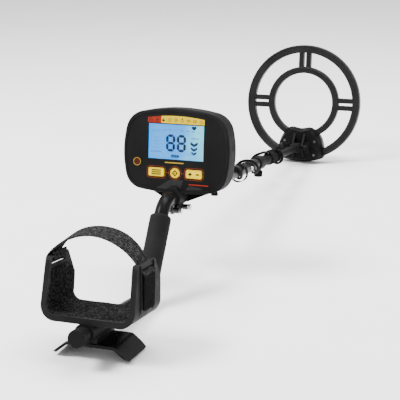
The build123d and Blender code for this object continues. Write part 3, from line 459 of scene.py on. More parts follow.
HOUSING = plastic("housing_black", grey(0.0022), grey(0.0040), 0.40, grain=0.18, grain_mm=0.7,
                  specular=0.06, edge=grey(0.03))
RUBBER = plastic("rubber_black", grey(0.0040), grey(0.0065), 0.58, grain=0.20, grain_mm=0.9,
                 specular=0.04)
CABLE = plastic("cable_black", grey(0.0045), grey(0.0075), 0.42, grain=0.10, grain_mm=0.9,
                specular=0.015)
STEEL = metal("steel_zinc", grey(0.50), grey(0.72), 0.28)
DARK_STEEL = metal("steel_dark", grey(0.045), grey(0.10), 0.35)
COPPER = metal("winding_copper", (0.55, 0.22, 0.09), (0.80, 0.38, 0.17), 0.32, brushed=0.5)
BOARD = plastic("board_green", (0.01, 0.07, 0.03), (0.02, 0.12, 0.05), 0.4, grain=0.2)
SILICONE = plastic("keypad_silicone", grey(0.10), grey(0.15), 0.6, grain=0.15)
JACKET = plastic("battery_jacket", grey(0.03), grey(0.07), 0.3, grain=0.05)
PAD = loop_fabric("pad_loops", grey(0.0015, 1.0), grey(0.038, 1.0))
STRAP = loop_fabric("strap_loops", grey(0.003, 1.0), grey(0.050, 1.0), coords="UV", ribs=125.0,
                    pile_end=0.205)
TIE = loop_fabric("tie_loops", grey(0.003, 1.0), grey(0.022, 1.0), scale=1.3)
KEY = printed("key_yellow", (0.70, 0.49, 0.0), (0.78, 0.56, 0.0))
# Amber for the keys' edges: painted shade, not ink
KEY_EDGE_SHADE = printed("key_edge_shade", (0.45, 0.20, 0.0), (0.52, 0.25, 0.0))
KEY_DARK = printed("key_dark_red", (0.014, 0.005, 0.004), (0.022, 0.007, 0.005))
INK_RED = printed("ink_red", (0.19, 0.028, 0.006), (0.25, 0.038, 0.008))
DISC_RED = printed("disc_red", (0.040, 0.007, 0.003), (0.055, 0.009, 0.004))
STRIP_RED = printed("strip_red", (0.18, 0.013, 0.005), (0.23, 0.019, 0.007))
STRIP_YELLOW = printed("strip_yellow", (0.50, 0.34, 0.0), (0.58, 0.40, 0.0))
INK_GOLD = printed("ink_gold", (0.30, 0.19, 0.01), (0.38, 0.24, 0.02))
INK_BLACK = printed("ink_black", (0.003, 0.003, 0.003), (0.006, 0.006, 0.005))
LCD_DARK = printed("lcd_segments", (0.004, 0.018, 0.060), (0.008, 0.028, 0.085))
LCD_FAINT = printed("lcd_faint", (0.03, 0.13, 0.26), (0.05, 0.18, 0.34), glow=0.03)
BACKLIGHT = backlight("lcd_backlight")
WINDOW = clear_window("lcd_window_clear")

NODE_MATERIALS = {
    TUBE_BLACK: ("s_tube",),
    SHAFT_BLACK: ("middle_tube",),
    ROD_BLACK: ("lower_rod", "rod_end_plug", "rod_knuckle", "guide_bush"),
    RUBBER: ("end_cap", "friction_washers", "cable_gland", "cuff_mount"),
    SHELL: ("front_cover", "rear_shell", "battery_door", "battery_tray", "box_bracket",
            "headphone_jack", "coil_socket", "cable_plug", "plug_ring", "speaker"),
    PANEL: ("face_panel",),
    CUFF: ("arm_cuff",),
    FOOT: ("foot_stand",),
    COIL: ("coil_upper_shell", "coil_lower_shell"),
    CABLE: ("clamp_collar", "lock_knob", "twist_lock"),
    HOUSING: ("coil_housing", "wing_nut", "coil_bolt"),
    STEEL: ("snap_clip", "cuff_bolts", "cuff_nuts", "clamp_nuts", "battery_snaps"),
    DARK_STEEL: ("clamp_bands", "clamp_bolts", "case_screws", "housing_screws"),
    COPPER: ("transmit_winding", "receive_winding"),
    BOARD: ("circuit_board",),
    SILICONE: ("keypad_mat",),
    JACKET: ("batteries",),
    KEY: ("menu_button", "pinpoint_button", "plus_minus_button"),
    KEY_DARK: ("power_button",),
    BACKLIGHT: ("lcd_module",),
    WINDOW: ("lcd_window",),
}


def paint_nodes():
    """Put the table's materials on the CAD objects."""
    for material, names in NODE_MATERIALS.items():
        for name in names:
            mesh = NODES[name].data
            mesh.materials.clear()
            mesh.materials.append(material)


# --- grip ----------------------------------------------------------------------------------------
def build_grip():
    """Foam sleeve on the slanted stretch of the tube, with rolled ends and an uneven skin."""
    up = Vector((0, TOP_BEND_Y - LOW_BEND_Y, SHAFT_Z)).normalized()
    middle = Vector((0, (LOW_BEND_Y + TOP_BEND_Y) / 2, SHAFT_Z / 2))
    across = Vector((1, 0, 0))
    back = up.cross(across)
    roll = GRIP_ROLL
    skin = GRIP_R - 0.25
    profile = [(TUBE_R + 0.15, 2.2), (TUBE_R + 1.2, 0.4)]
    for k in range(9):
        a = radians(90 - 90 * k / 8)
        profile.append((skin - roll + roll * cos(a), roll - roll * sin(a)))
    steps = 90
    for k in range(1, steps):
        profile.append((skin, roll + (GRIP_LENGTH - 2 * roll) * k / steps))
    rolled_end = profile[:11]
    profile += [(r, GRIP_LENGTH - t) for r, t in reversed(rolled_end)]
    rings = []
    count = 72
    for r, t in profile:
        ring = []
        for k in range(count):
            a = 2 * pi * k / count
            out = across * cos(a) + back * sin(a)
            p = middle + up * (t - GRIP_LENGTH / 2) + out * r
            wobble = 0.0 if r < TUBE_R + 2 else 0.22 * noise.noise(p * 0.09) - 0.06
            ring.append(p + out * wobble)
        rings.append(ring)
    verts, faces = loft(rings + [rings[0]], capped=False)
    grip = piece("grip_foam", verts, faces, FOAM, "upper_shaft")
    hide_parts("grip_sleeve")


# --- arm cuff lining -----------------------------------------------------------------------------
def u_path(inset, top):
    """Points (x, z) and inward normals along the U of the cuff, from left top to right top."""
    half = CUFF_HALF - inset
    low = CUFF_BOTTOM + inset
    r = CUFF_CORNER - inset
    points = []
    count = int((top - low - r) / PAD_STEP)
    for k in range(count):
        z = top - (top - low - r) * k / count
        points.append((-half + CUFF_LEAN * (z - low), z, 1, 0))
    for k in range(15):
        a = radians(90 * k / 14)
        points.append((-half + r - r * cos(a), low + r - r * sin(a), cos(a), sin(a)))
    flat = half - r
    count = int(2 * flat / PAD_STEP)
    for k in range(1, count):
        points.append((-flat + 2 * flat * k / count, low, 0, 1))
    left = [p for p in points if p[2] > 0 or p[0] <= -flat]
    return points + [(-x, z, -nx, nz) for x, z, nx, nz in reversed(left)]


def pad_span(z):
    """Rear and front edge of the lining at height z."""
    rear = PAD_REAR_Y + PAD_REAR_LEAN * (z - PAD_LOW_Z) / PAD_REAR_HEIGHT
    front = PAD_FRONT_Y + (z - PAD_LOW_Z) / PAD_CUT_Z
    if z >= PAD_CUT_Z:
        front = PAD_FRONT_Y + 1 - PAD_CUT * (z - PAD_CUT_Z) / PAD_CUT_HEIGHT
    return rear, max(front, rear + 4)


def build_pad():
    """Looped lining glued in the cuff, with rounded edges."""
    across = 62
    path = u_path(CUFF_WALL + 0.12, PAD_TOP)
    top = []
    bottom = []
    for i, (x, z, nx, nz) in enumerate(path):
        rear, front = pad_span(z)
        end = min(i, len(path) - 1 - i) * PAD_STEP
        upper_row = []
        lower_row = []
        for k in range(across + 1):
            y = rear + (front - rear) * k / across
            edge = min(y - rear, front - y, end)
            share = min(edge / PAD_ROUND, 1.0)
            thick = PAD_THICK * sqrt(max(1 - (1 - share) ** 2, 0.0))
            at = Vector((x, y, z))
            fuzz = 0.45 * noise.noise(at * 0.75) + 0.30 * noise.noise(at * 1.9)
            fuzz += 0.35 * noise.noise(at * 0.08)
            thick = max(thick + fuzz * share, 0.15)
            upper_row.append((x + nx * thick, y, z + nz * thick))
            lower_row.append((x + nx * 0.02, y, z + nz * 0.02))
        top.append(upper_row)
        bottom.append(lower_row)
    rings = [upper + lower[::-1] for upper, lower in zip(top, bottom)]
    verts, faces = loft(rings)
    pad = piece("cuff_lining", verts, faces, PAD, "upper_shaft")
    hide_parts("cuff_pad")
    return top


def build_fibres(rows):
    """Short curled loops of yarn that stand out of the lining."""
    parts = []
    for _ in range(FIBRES):
        i = rng.randrange(3, len(rows) - 4)
        k = rng.randrange(3, len(rows[0]) - 4)
        root = Vector(rows[i][k])
        along = Vector(rows[i + 1][k]) - root
        side = Vector(rows[i][k + 1]) - root
        out = along.cross(side).normalized()
        if out.dot(Vector((-root.x, 0, CUFF_OPEN_Z - root.z))) < 0:
            out = -out
        root += along * rng.random() + side * rng.random()
        a = rng.uniform(0, 2 * pi)
        lean = (along.normalized() * cos(a) + side.normalized() * sin(a))
        size = rng.uniform(0.45, 0.9)
        bow = [root - out * 0.15, root + out * size + lean * 0.15]
        bow += [root + out * size * 0.9 + lean * size * 0.9, root + lean * size * 1.3 - out * 0.1]
        parts.append(tube_mesh(bow, FIBRE_R, sides=4))
    verts, faces = joined(*parts)
    fuzz = piece("cuff_lining_loops", verts, faces, PAD, "upper_shaft")


# --- straps --------------------------------------------------------------------------------------
def smooth_line(points, samples):
    """Even Catmull-Rom samples through (x, z) points."""
    dense = []
    padded = [points[0]] + points + [points[-1]]
    for i in range(1, len(padded) - 2):
        p0, p1, p2, p3 = (Vector(q) for q in padded[i - 1:i + 3])
        for k in range(24):
            t = k / 24
            dense.append(0.5 * (2 * p1 + (p2 - p0) * t + (2 * p0 - 5 * p1 + 4 * p2 - p3) * t * t
                                + (3 * p1 - p0 - 3 * p2 + p3) * t ** 3))
    dense.append(Vector(points[-1]))
    lengths = [0.0]
    for a, b in zip(dense, dense[1:]):
        lengths.append(lengths[-1] + (b - a).length)
    total = lengths[-1]
    even = []
    j = 0
    for k in range(samples + 1):
        want = total * k / samples
        while j < len(lengths) - 2 and lengths[j + 1] < want:
            j += 1
        gap = lengths[j + 1] - lengths[j]
        even.append(dense[j].lerp(dense[j + 1], (want - lengths[j]) / gap if gap else 0))
    return even, total


def arc_through(a, b, c):
    """Centre and radius of the circle through three (x, z) points."""
    (ax, az), (bx, bz), (cx, cz) = a, b, c
    aa, bb, cc = ax ** 2 + az ** 2, bx ** 2 + bz ** 2, cx ** 2 + cz ** 2
    d = 2 * (ax * (bz - cz) + bx * (cz - az) + cx * (az - bz))
    x = (aa * (bz - cz) + bb * (cz - az) + cc * (az - bz)) / d
    z = (aa * (cx - bx) + bb * (ax - cx) + cc * (bx - ax)) / d
    return x, z, sqrt((ax - x) ** 2 + (az - z) ** 2)


def ribbon(name, line, total, y_mid, width, thick, material, body, wave=0.3, fuzz=0.25, slope=0.0):
    """Flat strap along an (x, z) line: rounded end corners, thick selvedges, a UV in metres."""
    across = 26
    rings = []
    for i, p in enumerate(line):
        ahead = (line[min(i + 1, len(line) - 1)] - line[max(i - 1, 0)]).normalized()
        out = Vector((-ahead.y, ahead.x))
        s = total * i / (len(line) - 1)
        end = min(s, total - s)
        r = END_CORNER
        half = width / 2 - (r - sqrt(max(r ** 2 - (r - end) ** 2, 0)) if end < r else 0)
        upper = []
        lower = []
        for k in range(across + 1):
            v = -1 + 2 * k / across
            y = y_mid + v * half
            at = Vector((p.x, y, p.y))
            sloped = min(max((p.y - SLOPE_START_Z) / SLOPE_RUN, 0), 1)
            lift = wave * noise.noise(at * 0.035) + slope * v * sloped
            rim = 0.25 * exp(-(((1 - abs(v)) / 0.07) ** 2))
            top = thick / 2 * sqrt(max(1 - abs(v) ** 14, 0.0)) + rim + fuzz * noise.noise(at * 1.3)
            upper.append((p.x + out.x * (lift + top), y, p.y + out.y * (lift + top)))
            lower.append((p.x + out.x * (lift - thick / 2), y, p.y + out.y * (lift - thick / 2)))
        rings.append(upper + lower[::-1])
    verts, faces = loft(rings)
    strap = piece(name, verts, faces, material, body)
    uv = strap.data.uv_layers.new(name="flat")
    inverse = TUBE.inverted()
    samples = [(Vector((q.x, 0, q.y)), total * i / (len(line) - 1)) for i, q in enumerate(line)]
    nearest = {}
    for loop in strap.data.loops:
        index = loop.vertex_index
        if index not in nearest:
            co = inverse @ strap.data.vertices[index].co
            flat = Vector((co.x, 0, co.z))
            s = min(samples, key=lambda item: (item[0] - flat).length_squared)[1]
            nearest[index] = (s * MM, co.y * MM)
        uv.data[loop.index].uv = nearest[index]
    return strap


def build_strap():
    """Hook-and-loop strap over the arm: it goes in at the left slot and out at the right one."""
    inside = CUFF_HALF - CUFF_WALL - 3.9
    outside = CUFF_HALF + 2.1
    rise = STRAP_CROWN - 1.2
    z = SLOT_Z
    left = [(-inside + 0.9, 98), (-inside + 0.4, 92), (-inside - 0.1, 86.5)]
    left += [(-inside - 2.0, z + 0.5), (-CUFF_HALF + 1.0, z - 0.3), (-outside + 0.5, z + 0.4)]
    left += [(-outside, 87)]
    centre_x, centre_z, radius = arc_through((-outside, 90), (-4, rise), (inside, 90))
    start = atan2(-outside - centre_x, 90 - centre_z)
    end = atan2(inside - centre_x, 90 - centre_z)
    arch = []
    for k in range(14):
        a = start + (end - start) * k / 13
        arch.append((centre_x + radius * sin(a), centre_z + radius * cos(a)))
    right = [(inside + 0.2, 86.5), (inside + 2.0, z + 0.5), (CUFF_HALF - 1.0, z - 0.3)]
    right += [(outside - 0.4, z - 2), (outside, 70), (outside + 0.3, 50), (outside + 0.2, 31)]
    line, total = smooth_line(left + arch + right, 280)
    strap = ribbon("cuff_strap_band", line, total, STRAP_Y, STRAP_WIDTH - 0.6, STRAP_THICK, STRAP,
                   "upper_shaft", slope=STRAP_SLOPE)
    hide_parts("cuff_strap")


def hull_line(big, small, gap, start, end, steps):
    """Line round a circle and a smaller one above it, from angle start to end, 0 at the top."""
    ease = 0.35          # half the angle over which it passes from one circle to the other
    lean = asin((big - small) / gap)
    points = []
    for k in range(steps + 1):
        a = start + (end - start) * k / steps
        direction = Vector((sin(a), cos(a)))
        wrapped = (a + pi) % (2 * pi) - pi
        if abs(wrapped) < pi / 2 - lean - ease:
            centre = Vector((0, gap))
            radius = small
        elif abs(wrapped) > pi / 2 - lean + ease:
            centre = Vector((0, 0))
            radius = big
        else:
            t = (abs(wrapped) - (pi / 2 - lean - ease)) / (2 * ease)
            t = t * t * (3 - 2 * t)
            centre = Vector((0, gap * (1 - t)))
            radius = small + (big - small) * t
        points.append(centre + direction * radius)
    return points


def build_ties():
    """Hook-and-loop ties round the shaft and the cable."""
    round_line = hull_line(TUBE_R + 0.2, CABLE_R + 1.1, CABLE_LIFT, -pi, pi, 150)
    points = [(p.x, p.y + SHAFT_Z) for p in round_line]
    line, total = smooth_line(points[::6], 200)
    tie = ribbon("front_tie_band", line, total, FRONT_TIE_Y, width=33.0, thick=1.5, material=TIE,
                 body="middle_shaft", wave=0.7, fuzz=0.35)
    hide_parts("front_tie")
    low = SHAFT_Z + TUBE_R + 0.2 - (REAR_LOOP_R - 0.8)
    points = []
    for k in range(29):
        a = radians(-150 + 360 * k / 28)
        points.append((REAR_LOOP_R * sin(a), low + REAR_LOOP_R * cos(a)))
    line, total = smooth_line(points, 160)
    loop = ribbon("rear_tie_band", line, total, REAR_TIE_Y, width=11.4, thick=1.2, material=TIE,
                  body="upper_shaft", wave=0.15, fuzz=0.15)
    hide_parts("rear_tie")


# --- cable ---------------------------------------------------------------------------------------
def wound(*stations):
    """Points wound on the shaft through stations of (y, angle, radius, points since the last one),
    where angle 0 is the top and 90 the user's right."""
    points = []
    for (y0, a0, r0, _), (y1, a1, r1, steps) in zip(stations, stations[1:]):
        for n in range(1 if points else 0, steps + 1):
            t = n / steps
            a = radians(a0 + (a1 - a0) * t)
            r = r0 + (r1 - r0) * t
            points.append((r * sin(a), y0 + (y1 - y0) * t, SHAFT_Z + r * cos(a)))
    return points


def cable_route():
    """From the box's socket, wound on the shaft, under the front tie and along to the coil."""
    tied = SHAFT_Z + CABLE_LIFT
    points = [(SOCKET_X, BACK_Y + 28, SOCKET_Z), (SOCKET_X, BACK_Y + 45, SOCKET_Z)]
    points += [(-25, 468, 158)]
    points += wound((492, -50, 15, 0), (REAR_TIE_Y, 540, 15, 13), (735, 720, 15, 4),
                    (792, 900, 17.4, 4), (846, 1080, 17.4, 4))
    points += [(0, 868, SHAFT_Z + 16.4), (0, 880, tied), (0, 926, tied)]
    points += wound((934, 1080, 16.4, 0), (958, 1260, 16.8, 4), (986, 1440, 16.0, 4))
    points += [(-3, 1006, SHAFT_Z + 19), (-8, 1026, SHAFT_Z + 19.5), (-13, 1048, SHAFT_Z + 16)]
    points += [(-18, 1072, SHAFT_Z + 10.5), (-21, 1098, SHAFT_Z + 6)]
    return points + [(GLAND[0], 1118, GLAND[2]), (GLAND[0], 1150, GLAND[2])]


def spline_points(points):
    """Points along the NURBS spline whose control points are the cable's route."""
    curve = bpy.data.curves.new("cable_line", "CURVE")
    curve.dimensions = "3D"
    curve.resolution_u = 12
    spline = curve.splines.new("NURBS")
    spline.points.add(len(points) - 1)
    for point, co in zip(spline.points, points):
        point.co = (*co, 1)
    spline.order_u = 3
    spline.use_endpoint_u = True
    obj = bpy.data.objects.new("cable_line", curve)
    bpy.context.scene.collection.objects.link(obj)
    bpy.context.view_layer.update()
    mesh = bpy.data.meshes.new_from_object(obj)
    line = [v.co.copy() for v in mesh.vertices]
    bpy.data.objects.remove(obj)
    bpy.data.meshes.remove(mesh)
    return line


def build_cable():
    """One cable in four lengths: a length that lies on one tube rides on it, and a length that
    spans two tubes is left on no body.
    """
    line = spline_points(cable_route())
    spans = (("cable_at_box", 0, 640, "upper_shaft", None, ("cable_upper",)),
             ("cable_at_collar", 640, 876, "upper_shaft", "middle_shaft", ("cable_middle",)),
             ("cable_at_rod", 876, 1086, "middle_shaft", "lower_shaft", ("cable_lower",)),
             ("cable_at_coil", 1086, 1200, "lower_shaft", "coil", ("cable_coil",)))
    for name, y0, y1, body, far_body, nodes in spans:
        first = max([i for i, p in enumerate(line) if p.y <= y0], default=0)
        last = min([i for i, p in enumerate(line) if p.y >= y1], default=len(line) - 1)
        verts, faces = tube_mesh([p.copy() for p in line[first:last + 1]], CABLE_R - 0.03)
        part = piece(name, verts, faces, CABLE, None if far_body else body)
        if far_body:
            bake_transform(part)
        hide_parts(*nodes)


def build_snap_clip():
    """The spring clip, whose far leg stays in the tube while the button's leg is pressed in: here
    a steel copy of the CAD clip, on no body.
    """
    mesh = NODES["snap_clip"].data.copy()
    mesh.materials.clear()
    mesh.materials.append(STEEL)
    clip = bpy.data.objects.new("snap_spring", mesh)
    bpy.context.scene.collection.objects.link(clip)
    clip.matrix_world = NODES["snap_clip"].matrix_world
    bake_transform(clip)
    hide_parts("snap_clip")


# --- printed graphics ----------------------------------------------------------------------------
def print_on(name, shape, material, body="upper_shaft"):
    """A flat print of (verts, faces) that rides on a body."""
    verts, faces = shape
    ink = piece(name, verts, faces, material, body, smooth=False)
    return ink


def on_panel(outline):
    """Print with this outline on the panel's face."""
    return prism(outline, PANEL_Y - PRINT, PANEL_Y - 0.01)


def panel_band(outer, inner):
    """Printed frame on the panel's face."""
    return band(outer, inner, PANEL_Y - PRINT, PANEL_Y - 0.01)


def build_icon_strip():
    """Row of target symbols over the display: two red cells, the others yellow."""
    left, change, right = -STRIP_ARCH, -24.6, 45.6
    low = STRIP_LOW_Z

    def top(x):
        return STRIP_SIDE_Z + STRIP_RISE * (1 - (x / STRIP_ARCH) ** 2)

    def cell(x0, x1):
        steps = 14
        xs = [x0 + (x1 - x0) * k / steps for k in range(steps + 1)]
        return [(x0, low), (x1, low)] + [(x, top(x)) for x in xs][::-1]

    print_on("strip_red", on_panel(cell(left, change - 0.1)), STRIP_RED)
    print_on("strip_yellow", on_panel(cell(change + 0.1, right)), STRIP_YELLOW)
    y0 = PANEL_Y - 2 * PRINT
    y1 = PANEL_Y - PRINT
    icons = []
    count = 9
    for n in range(count):
        x = left + (right - left) * (n + 0.5) / count
        z = low + (top(x) - low) * 0.47
        if n in (0, 3, 8):      # ring with a bar across
            icons.append(band(circle(x, z, 2.9, 28), circle(x, z, 2.3, 28), y0, y1))
            icons.append(prism(rect(x, z, 2.0, 0.55), y0, y1))
        elif n in (1, 4):       # coin
            icons.append(band(circle(x, z, 3.0, 28), circle(x, z, 2.5, 28), y0, y1))
            icons.append(prism(circle(x, z, 1.1, 18), y0, y1))
        elif n == 5:            # finger ring with a stone
            icons.append(band(circle(x, z - 0.6, 2.5, 28), circle(x, z - 0.6, 1.9, 28), y0, y1))
            icons.append(prism([(x - 1.3, z + 1.9), (x + 1.3, z + 1.9), (x, z + 3.9)], y0, y1))
        elif n == 2:            # scrap with a lug
            icons.append(prism(rect(x, z - 1.1, 4.0, 2.8), y0, y1))
            icons.append(prism(rect(x - 0.6, z + 1.3, 1.1, 2.0), y0, y1))
        else:                   # can
            outer = rounded(x, z, 6.2, 3.8, 1.2, 4)
            icons.append(band(outer, rounded(x, z, 5.0, 2.6, 0.8, 4), y0, y1))
            icons.append(prism(rect(x, z, 0.8, 2.4), y0, y1))
    print_on("strip_icons", joined(*icons), INK_BLACK)


def build_key_prints():
    """Halos and links round the keys, painted shade along the keys' edges, and the symbols on
    them.
    """
    halos = []
    for x in (-KEY_X, KEY_X):
        outer = rounded(x, KEY_Z, KEY_W + 2 * HALO_OUT, KEY_H + 2 * HALO_OUT, 5.4)
        inner = rounded(x, KEY_Z, KEY_W + 2 * HALO_IN, KEY_H + 2 * HALO_IN, 4.9)
        halos.append(panel_band(outer, inner))
    outer = circle(0, KEY_Z, PINPOINT_R + HALO_OUT)
    halos.append(panel_band(outer, circle(0, KEY_Z, PINPOINT_R + HALO_IN)))
    link = KEY_X - KEY_W / 2 - HALO_OUT - (PINPOINT_R + HALO_OUT)
    for side in (-1, 1):
        x = side * (PINPOINT_R + HALO_OUT + link / 2)
        halos.append(on_panel(rect(x, KEY_Z, link + 0.2, 0.6)))
    print_on("key_halos", joined(*halos), INK_RED)
    y0 = KEY_FRONT_Y - PRINT
    y1 = KEY_FRONT_Y
    for name, x in (("menu", -KEY_X), ("plus_minus", KEY_X)):
        # Amber bands just inside the key edges: painted shade where the keys round away from the
        # light
        outer = rounded(x, KEY_Z, KEY_W - 0.9, KEY_H - 0.9, 2.6)
        rim = band(outer, rounded(x, KEY_Z, KEY_W - 2.2, KEY_H - 2.2, 1.9), y0, y1)
        print_on(name + "_edge_shade", rim, KEY_EDGE_SHADE, name + "_button")
    rim = band(circle(0, KEY_Z, PINPOINT_R - 0.5), circle(0, KEY_Z, PINPOINT_R - 1.3), y0, y1)
    print_on("pinpoint_edge_shade", rim, KEY_EDGE_SHADE, "pinpoint_button")
    bars = [prism(rect(-KEY_X, KEY_Z + dz, 15.5, 1.9), y0, y1) for dz in (-3.1, 0, 3.1)]
    print_on("menu_symbol", joined(*bars), INK_BLACK, "menu_button")
    target = [band(circle(0, KEY_Z, 3.9), circle(0, KEY_Z, 2.2), y0, y1)]
    target.append(prism(circle(0, KEY_Z, 1.1, 20), y0, y1))
    for side in (1, -1):
        target.append(prism(rect(0, KEY_Z + 4.4 * side, 1.5, 1.9), y0, y1))
        target.append(prism(rect(4.4 * side, KEY_Z, 1.9, 1.5), y0, y1))
    print_on("pinpoint_symbol", joined(*target), INK_BLACK, "pinpoint_button")
    signs = [prism(rect(KEY_X - 6.0, KEY_Z + dz, w, h), y0, y1)
             for dz, w, h in ((0, 5.8, 2.1), (1.95, 2.1, 1.9), (-1.95, 2.1, 1.9))]
    signs.append(prism(rect(KEY_X + 6.0, KEY_Z, 5.4, 2.1), y0, y1))
    print_on("plus_minus_symbols", joined(*signs), INK_BLACK, "plus_minus_button")
    outer = circle(POWER_X, POWER_Z, POWER_R - 0.45)
    ring = band(outer, circle(POWER_X, POWER_Z, POWER_R - 1.2), y0, y1)
    print_on("power_ring", ring, INK_GOLD, "power_button")
    rosy = band(circle(POWER_X, POWER_Z, 4.4), circle(POWER_X, POWER_Z, 1.5), y0, y1)
    print_on("power_disc", rosy, DISC_RED, "power_button")


def build_panel_marks():
    """Painted highlights on the chin's facets, and plain rules where a maker would print a name.
    """
    round_arch = []
    for k in range(13):
        a = radians(38 - 90 * k / 12)
        round_arch.append(((ARCH_R + 0.5) * sin(a), SHAFT_Z + (ARCH_R + 0.5) * cos(a)))
    left = [(-30.5, 145.6), (-9.0, 159.6), (13.0, 160.4)] + round_arch
    right = [(17.4, 145.3), (23.0, 152.3), (42.6, 150.4), (45.2, 147.4)]
    # pale patches: painted highlight on the chin's facets
    print_on("chin_facet_highlights", joined(on_panel(left), on_panel(right)), CHIN_HIGHLIGHT)
    print_on("panel_rule_gold", on_panel(rounded(-2.0, 186.6, 31.0, 1.5, 0.7)), INK_GOLD)
    print_on("panel_rule_red", on_panel(rounded(38.5, 154.6, 32.0, 1.7, 0.8)), STRIP_RED)


# --- display -------------------------------------------------------------------------------------
def segment(x0, z0, x1, z1, thick):
    """One bar of a seven-segment digit, pointed at both ends."""
    a = Vector((x0, z0))
    b = Vector((x1, z1))
    d = (b - a).normalized()
    n = Vector((-d.y, d.x)) * thick / 2
    a += d * 0.35
    b -= d * 0.35
    tip = d * thick / 2
    return [tuple(p) for p in (a, a + tip + n, b - tip + n, b, b - tip - n, a + tip - n)]


def digit_eight(x, z, w, h, thick):
    """All seven bars of a digit centred on x, z."""
    left, right, low, high = x - w / 2, x + w / 2, z - h / 2, z + h / 2
    bars = [segment(left, at, right, at, thick) for at in (high, z, low)]
    for start, end in ((z, high), (low, z)):
        bars += [segment(at, start, at, end, thick) for at in (left, right)]
    return bars


def chevron(x, z, w, h, thick):
    """Outline of a bent bar pointing down."""
    left, right, low, high = x - w / 2, x + w / 2, z - h / 2, z + h / 2
    return [(left, high), (x, low + thick), (right, high), (right, high - thick), (x, low),
            (left, high - thick)]


def build_display():
    """Dark digits, chevrons, badge and battery, and the faint scale and gauges round them."""
    y0 = LCD_FRONT_Y - PRINT - 0.02
    y1 = LCD_FRONT_Y - 0.02
    dark = []
    for x in (-9.3, 8.3):
        dark += [prism(bar, y0, y1) for bar in digit_eight(x, z=216.9, w=10.8, h=22.6, thick=4.2)]
    arrows = ((216.6, 12.0, 8.4, 4.5), (209.2, 10.4, 7.4, 3.9), (202.8, 8.0, 6.0, 3.2))
    for z, w, h, thick in arrows:
        dark.append(prism(chevron(29.0, z, w, h, thick), y0, y1))
    half_badge = [(0, 2.6), (2.4, 3.4), (3.9, 2.2), (3.4, -0.6), (0, -3.2)]
    badge = half_badge + [(-dx, dz) for dx, dz in half_badge[-2:0:-1]]
    dark.append(prism([(28.4 + dx, 241.2 + dz) for dx, dz in badge], y0, y1))
    battery_z = 196.9
    dark.append(band(rect(-2.0, battery_z, 12.2, 4.6), rect(-2.0, battery_z, 10.6, 3.0), y0, y1))
    dark.append(prism(rect(4.7, battery_z, 0.9, 2.2), y0, y1))
    dark += [prism(rect(-5.9 + 2.6 * n, battery_z, 2.1, 2.5), y0, y1) for n in range(4)]
    print_on("lcd_dark_symbols", joined(*dark), LCD_DARK)
    faint = []
    for n in range(9):
        x = -38.5 + 9.4 * n
        z = 234.2 + 3.0 * (1 - (x / 42) ** 2)
        for k in range(3 if n not in (4, 8) else 2):
            faint.append(prism(rect(x + 1.7 * k - 1.7, z, 1.1, 1.7), y0, y1))
    for n in range(6):
        faint.append(prism(rect(25.4 + 2.2 * n, 225.6, 1.4, 1.9), y0, y1))
        faint.append(prism(rect(-40.5 + 2.9 * n, 202.6, 1.9, 2.0), y0, y1))
    for n in range(4):
        faint.append(prism(rect(-33.0, 224.5 - 5.2 * n, 9.5 - n, 0.8), y0, y1))
    print_on("lcd_faint_symbols", joined(*faint), LCD_FAINT)


# --- studio --------------------------------------------------------------------------------------
CAMERA_AT = (573.5, -1216.8, 399.4)
CAMERA_YAW = 18.74       # degrees to the left of the shaft's forward direction
CAMERA_PITCH = 9.17      # degrees downwards
CAMERA_ROLL = 1.73
CAMERA_LENS = 98.25
FLOOR_SIZE = 18.0        # in metres


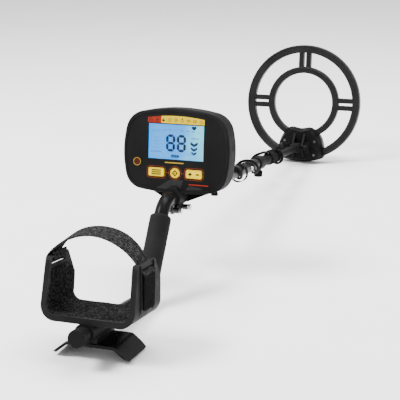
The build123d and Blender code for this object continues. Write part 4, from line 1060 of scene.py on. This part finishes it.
def build_camera():
    """Camera turned and placed in the tube frame."""
    yaw, pitch, roll = (radians(a) for a in (CAMERA_YAW, CAMERA_PITCH, CAMERA_ROLL))
    ahead = Vector((-sin(yaw) * cos(pitch), cos(yaw) * cos(pitch), -sin(pitch)))
    right = ahead.cross(Vector((0, 0, 1))).normalized()
    up = right.cross(ahead)
    rolled_right = right * cos(roll) + up * sin(roll)
    rolled_up = up * cos(roll) - right * sin(roll)
    data = bpy.data.cameras.new("camera")
    data.lens = CAMERA_LENS
    data.sensor_width = 36
    camera = bpy.data.objects.new("camera", data)
    bpy.context.scene.collection.objects.link(camera)
    axes = Matrix([TURN @ v for v in (rolled_right, rolled_up, -ahead)]).transposed()
    camera.matrix_world = Matrix.Translation(TUBE @ Vector(CAMERA_AT)) @ axes.to_4x4()
    bpy.context.scene.camera = camera


def area_light(name, at, target, size, power):
    data = bpy.data.lights.new(name, "AREA")
    data.shape = "RECTANGLE"
    data.size = size[0]
    data.size_y = size[1]
    data.energy = power
    light = bpy.data.objects.new(name, data)
    bpy.context.scene.collection.objects.link(light)
    light.location = at
    light.rotation_euler = (Vector(target) - Vector(at)).to_track_quat("-Z", "Y").to_euler()


def build_studio():
    """White floor and surround, lit from the left, from above and faintly from the right."""
    floor_mesh = bpy.data.meshes.new("floor")
    corners = [(*corner, 0) for corner in rect(0, 0, FLOOR_SIZE, FLOOR_SIZE)]
    floor_mesh.from_pydata(corners, [], [(0, 1, 2, 3)])
    floor = bpy.data.objects.new("floor", floor_mesh)
    bpy.context.scene.collection.objects.link(floor)
    material, shader = new_material("floor_white", 0.9, specular=0.1)
    w = Wiring(material)
    color = w.ramp(w.noise(3, 3), [(0.3, (0.86, 0.86, 0.86)), (0.7, (0.89, 0.89, 0.89))])
    w.links.new(color, shader.inputs["Base Color"])
    floor_mesh.materials.append(material)
    world = bpy.data.worlds.new("studio")
    bpy.context.scene.world = world
    world.use_nodes = True
    background = world.node_tree.nodes["Background"]
    background.inputs["Color"].default_value = (1, 1, 1, 1)
    background.inputs["Strength"].default_value = 1.25
    area_light("key_light", (-1.6, -1.4, 2.6), (0, -0.2, 0.1), (1.2, 0.9), 190)
    area_light("top_light", (0.2, 0.6, 2.8), (0, 0.1, 0.1), (2.6, 1.4), 160)
    area_light("side_light", (2.4, -0.6, 1.1), (0, 0, 0.15), (0.8, 1.8), 5)


# --- the whole -----------------------------------------------------------------------------------
build_camera()
build_studio()
paint_nodes()
build_cable()
build_snap_clip()
build_grip()
lining = build_pad()
build_fibres(lining)
build_strap()
build_ties()
build_icon_strip()
build_key_prints()
build_panel_marks()
build_display()
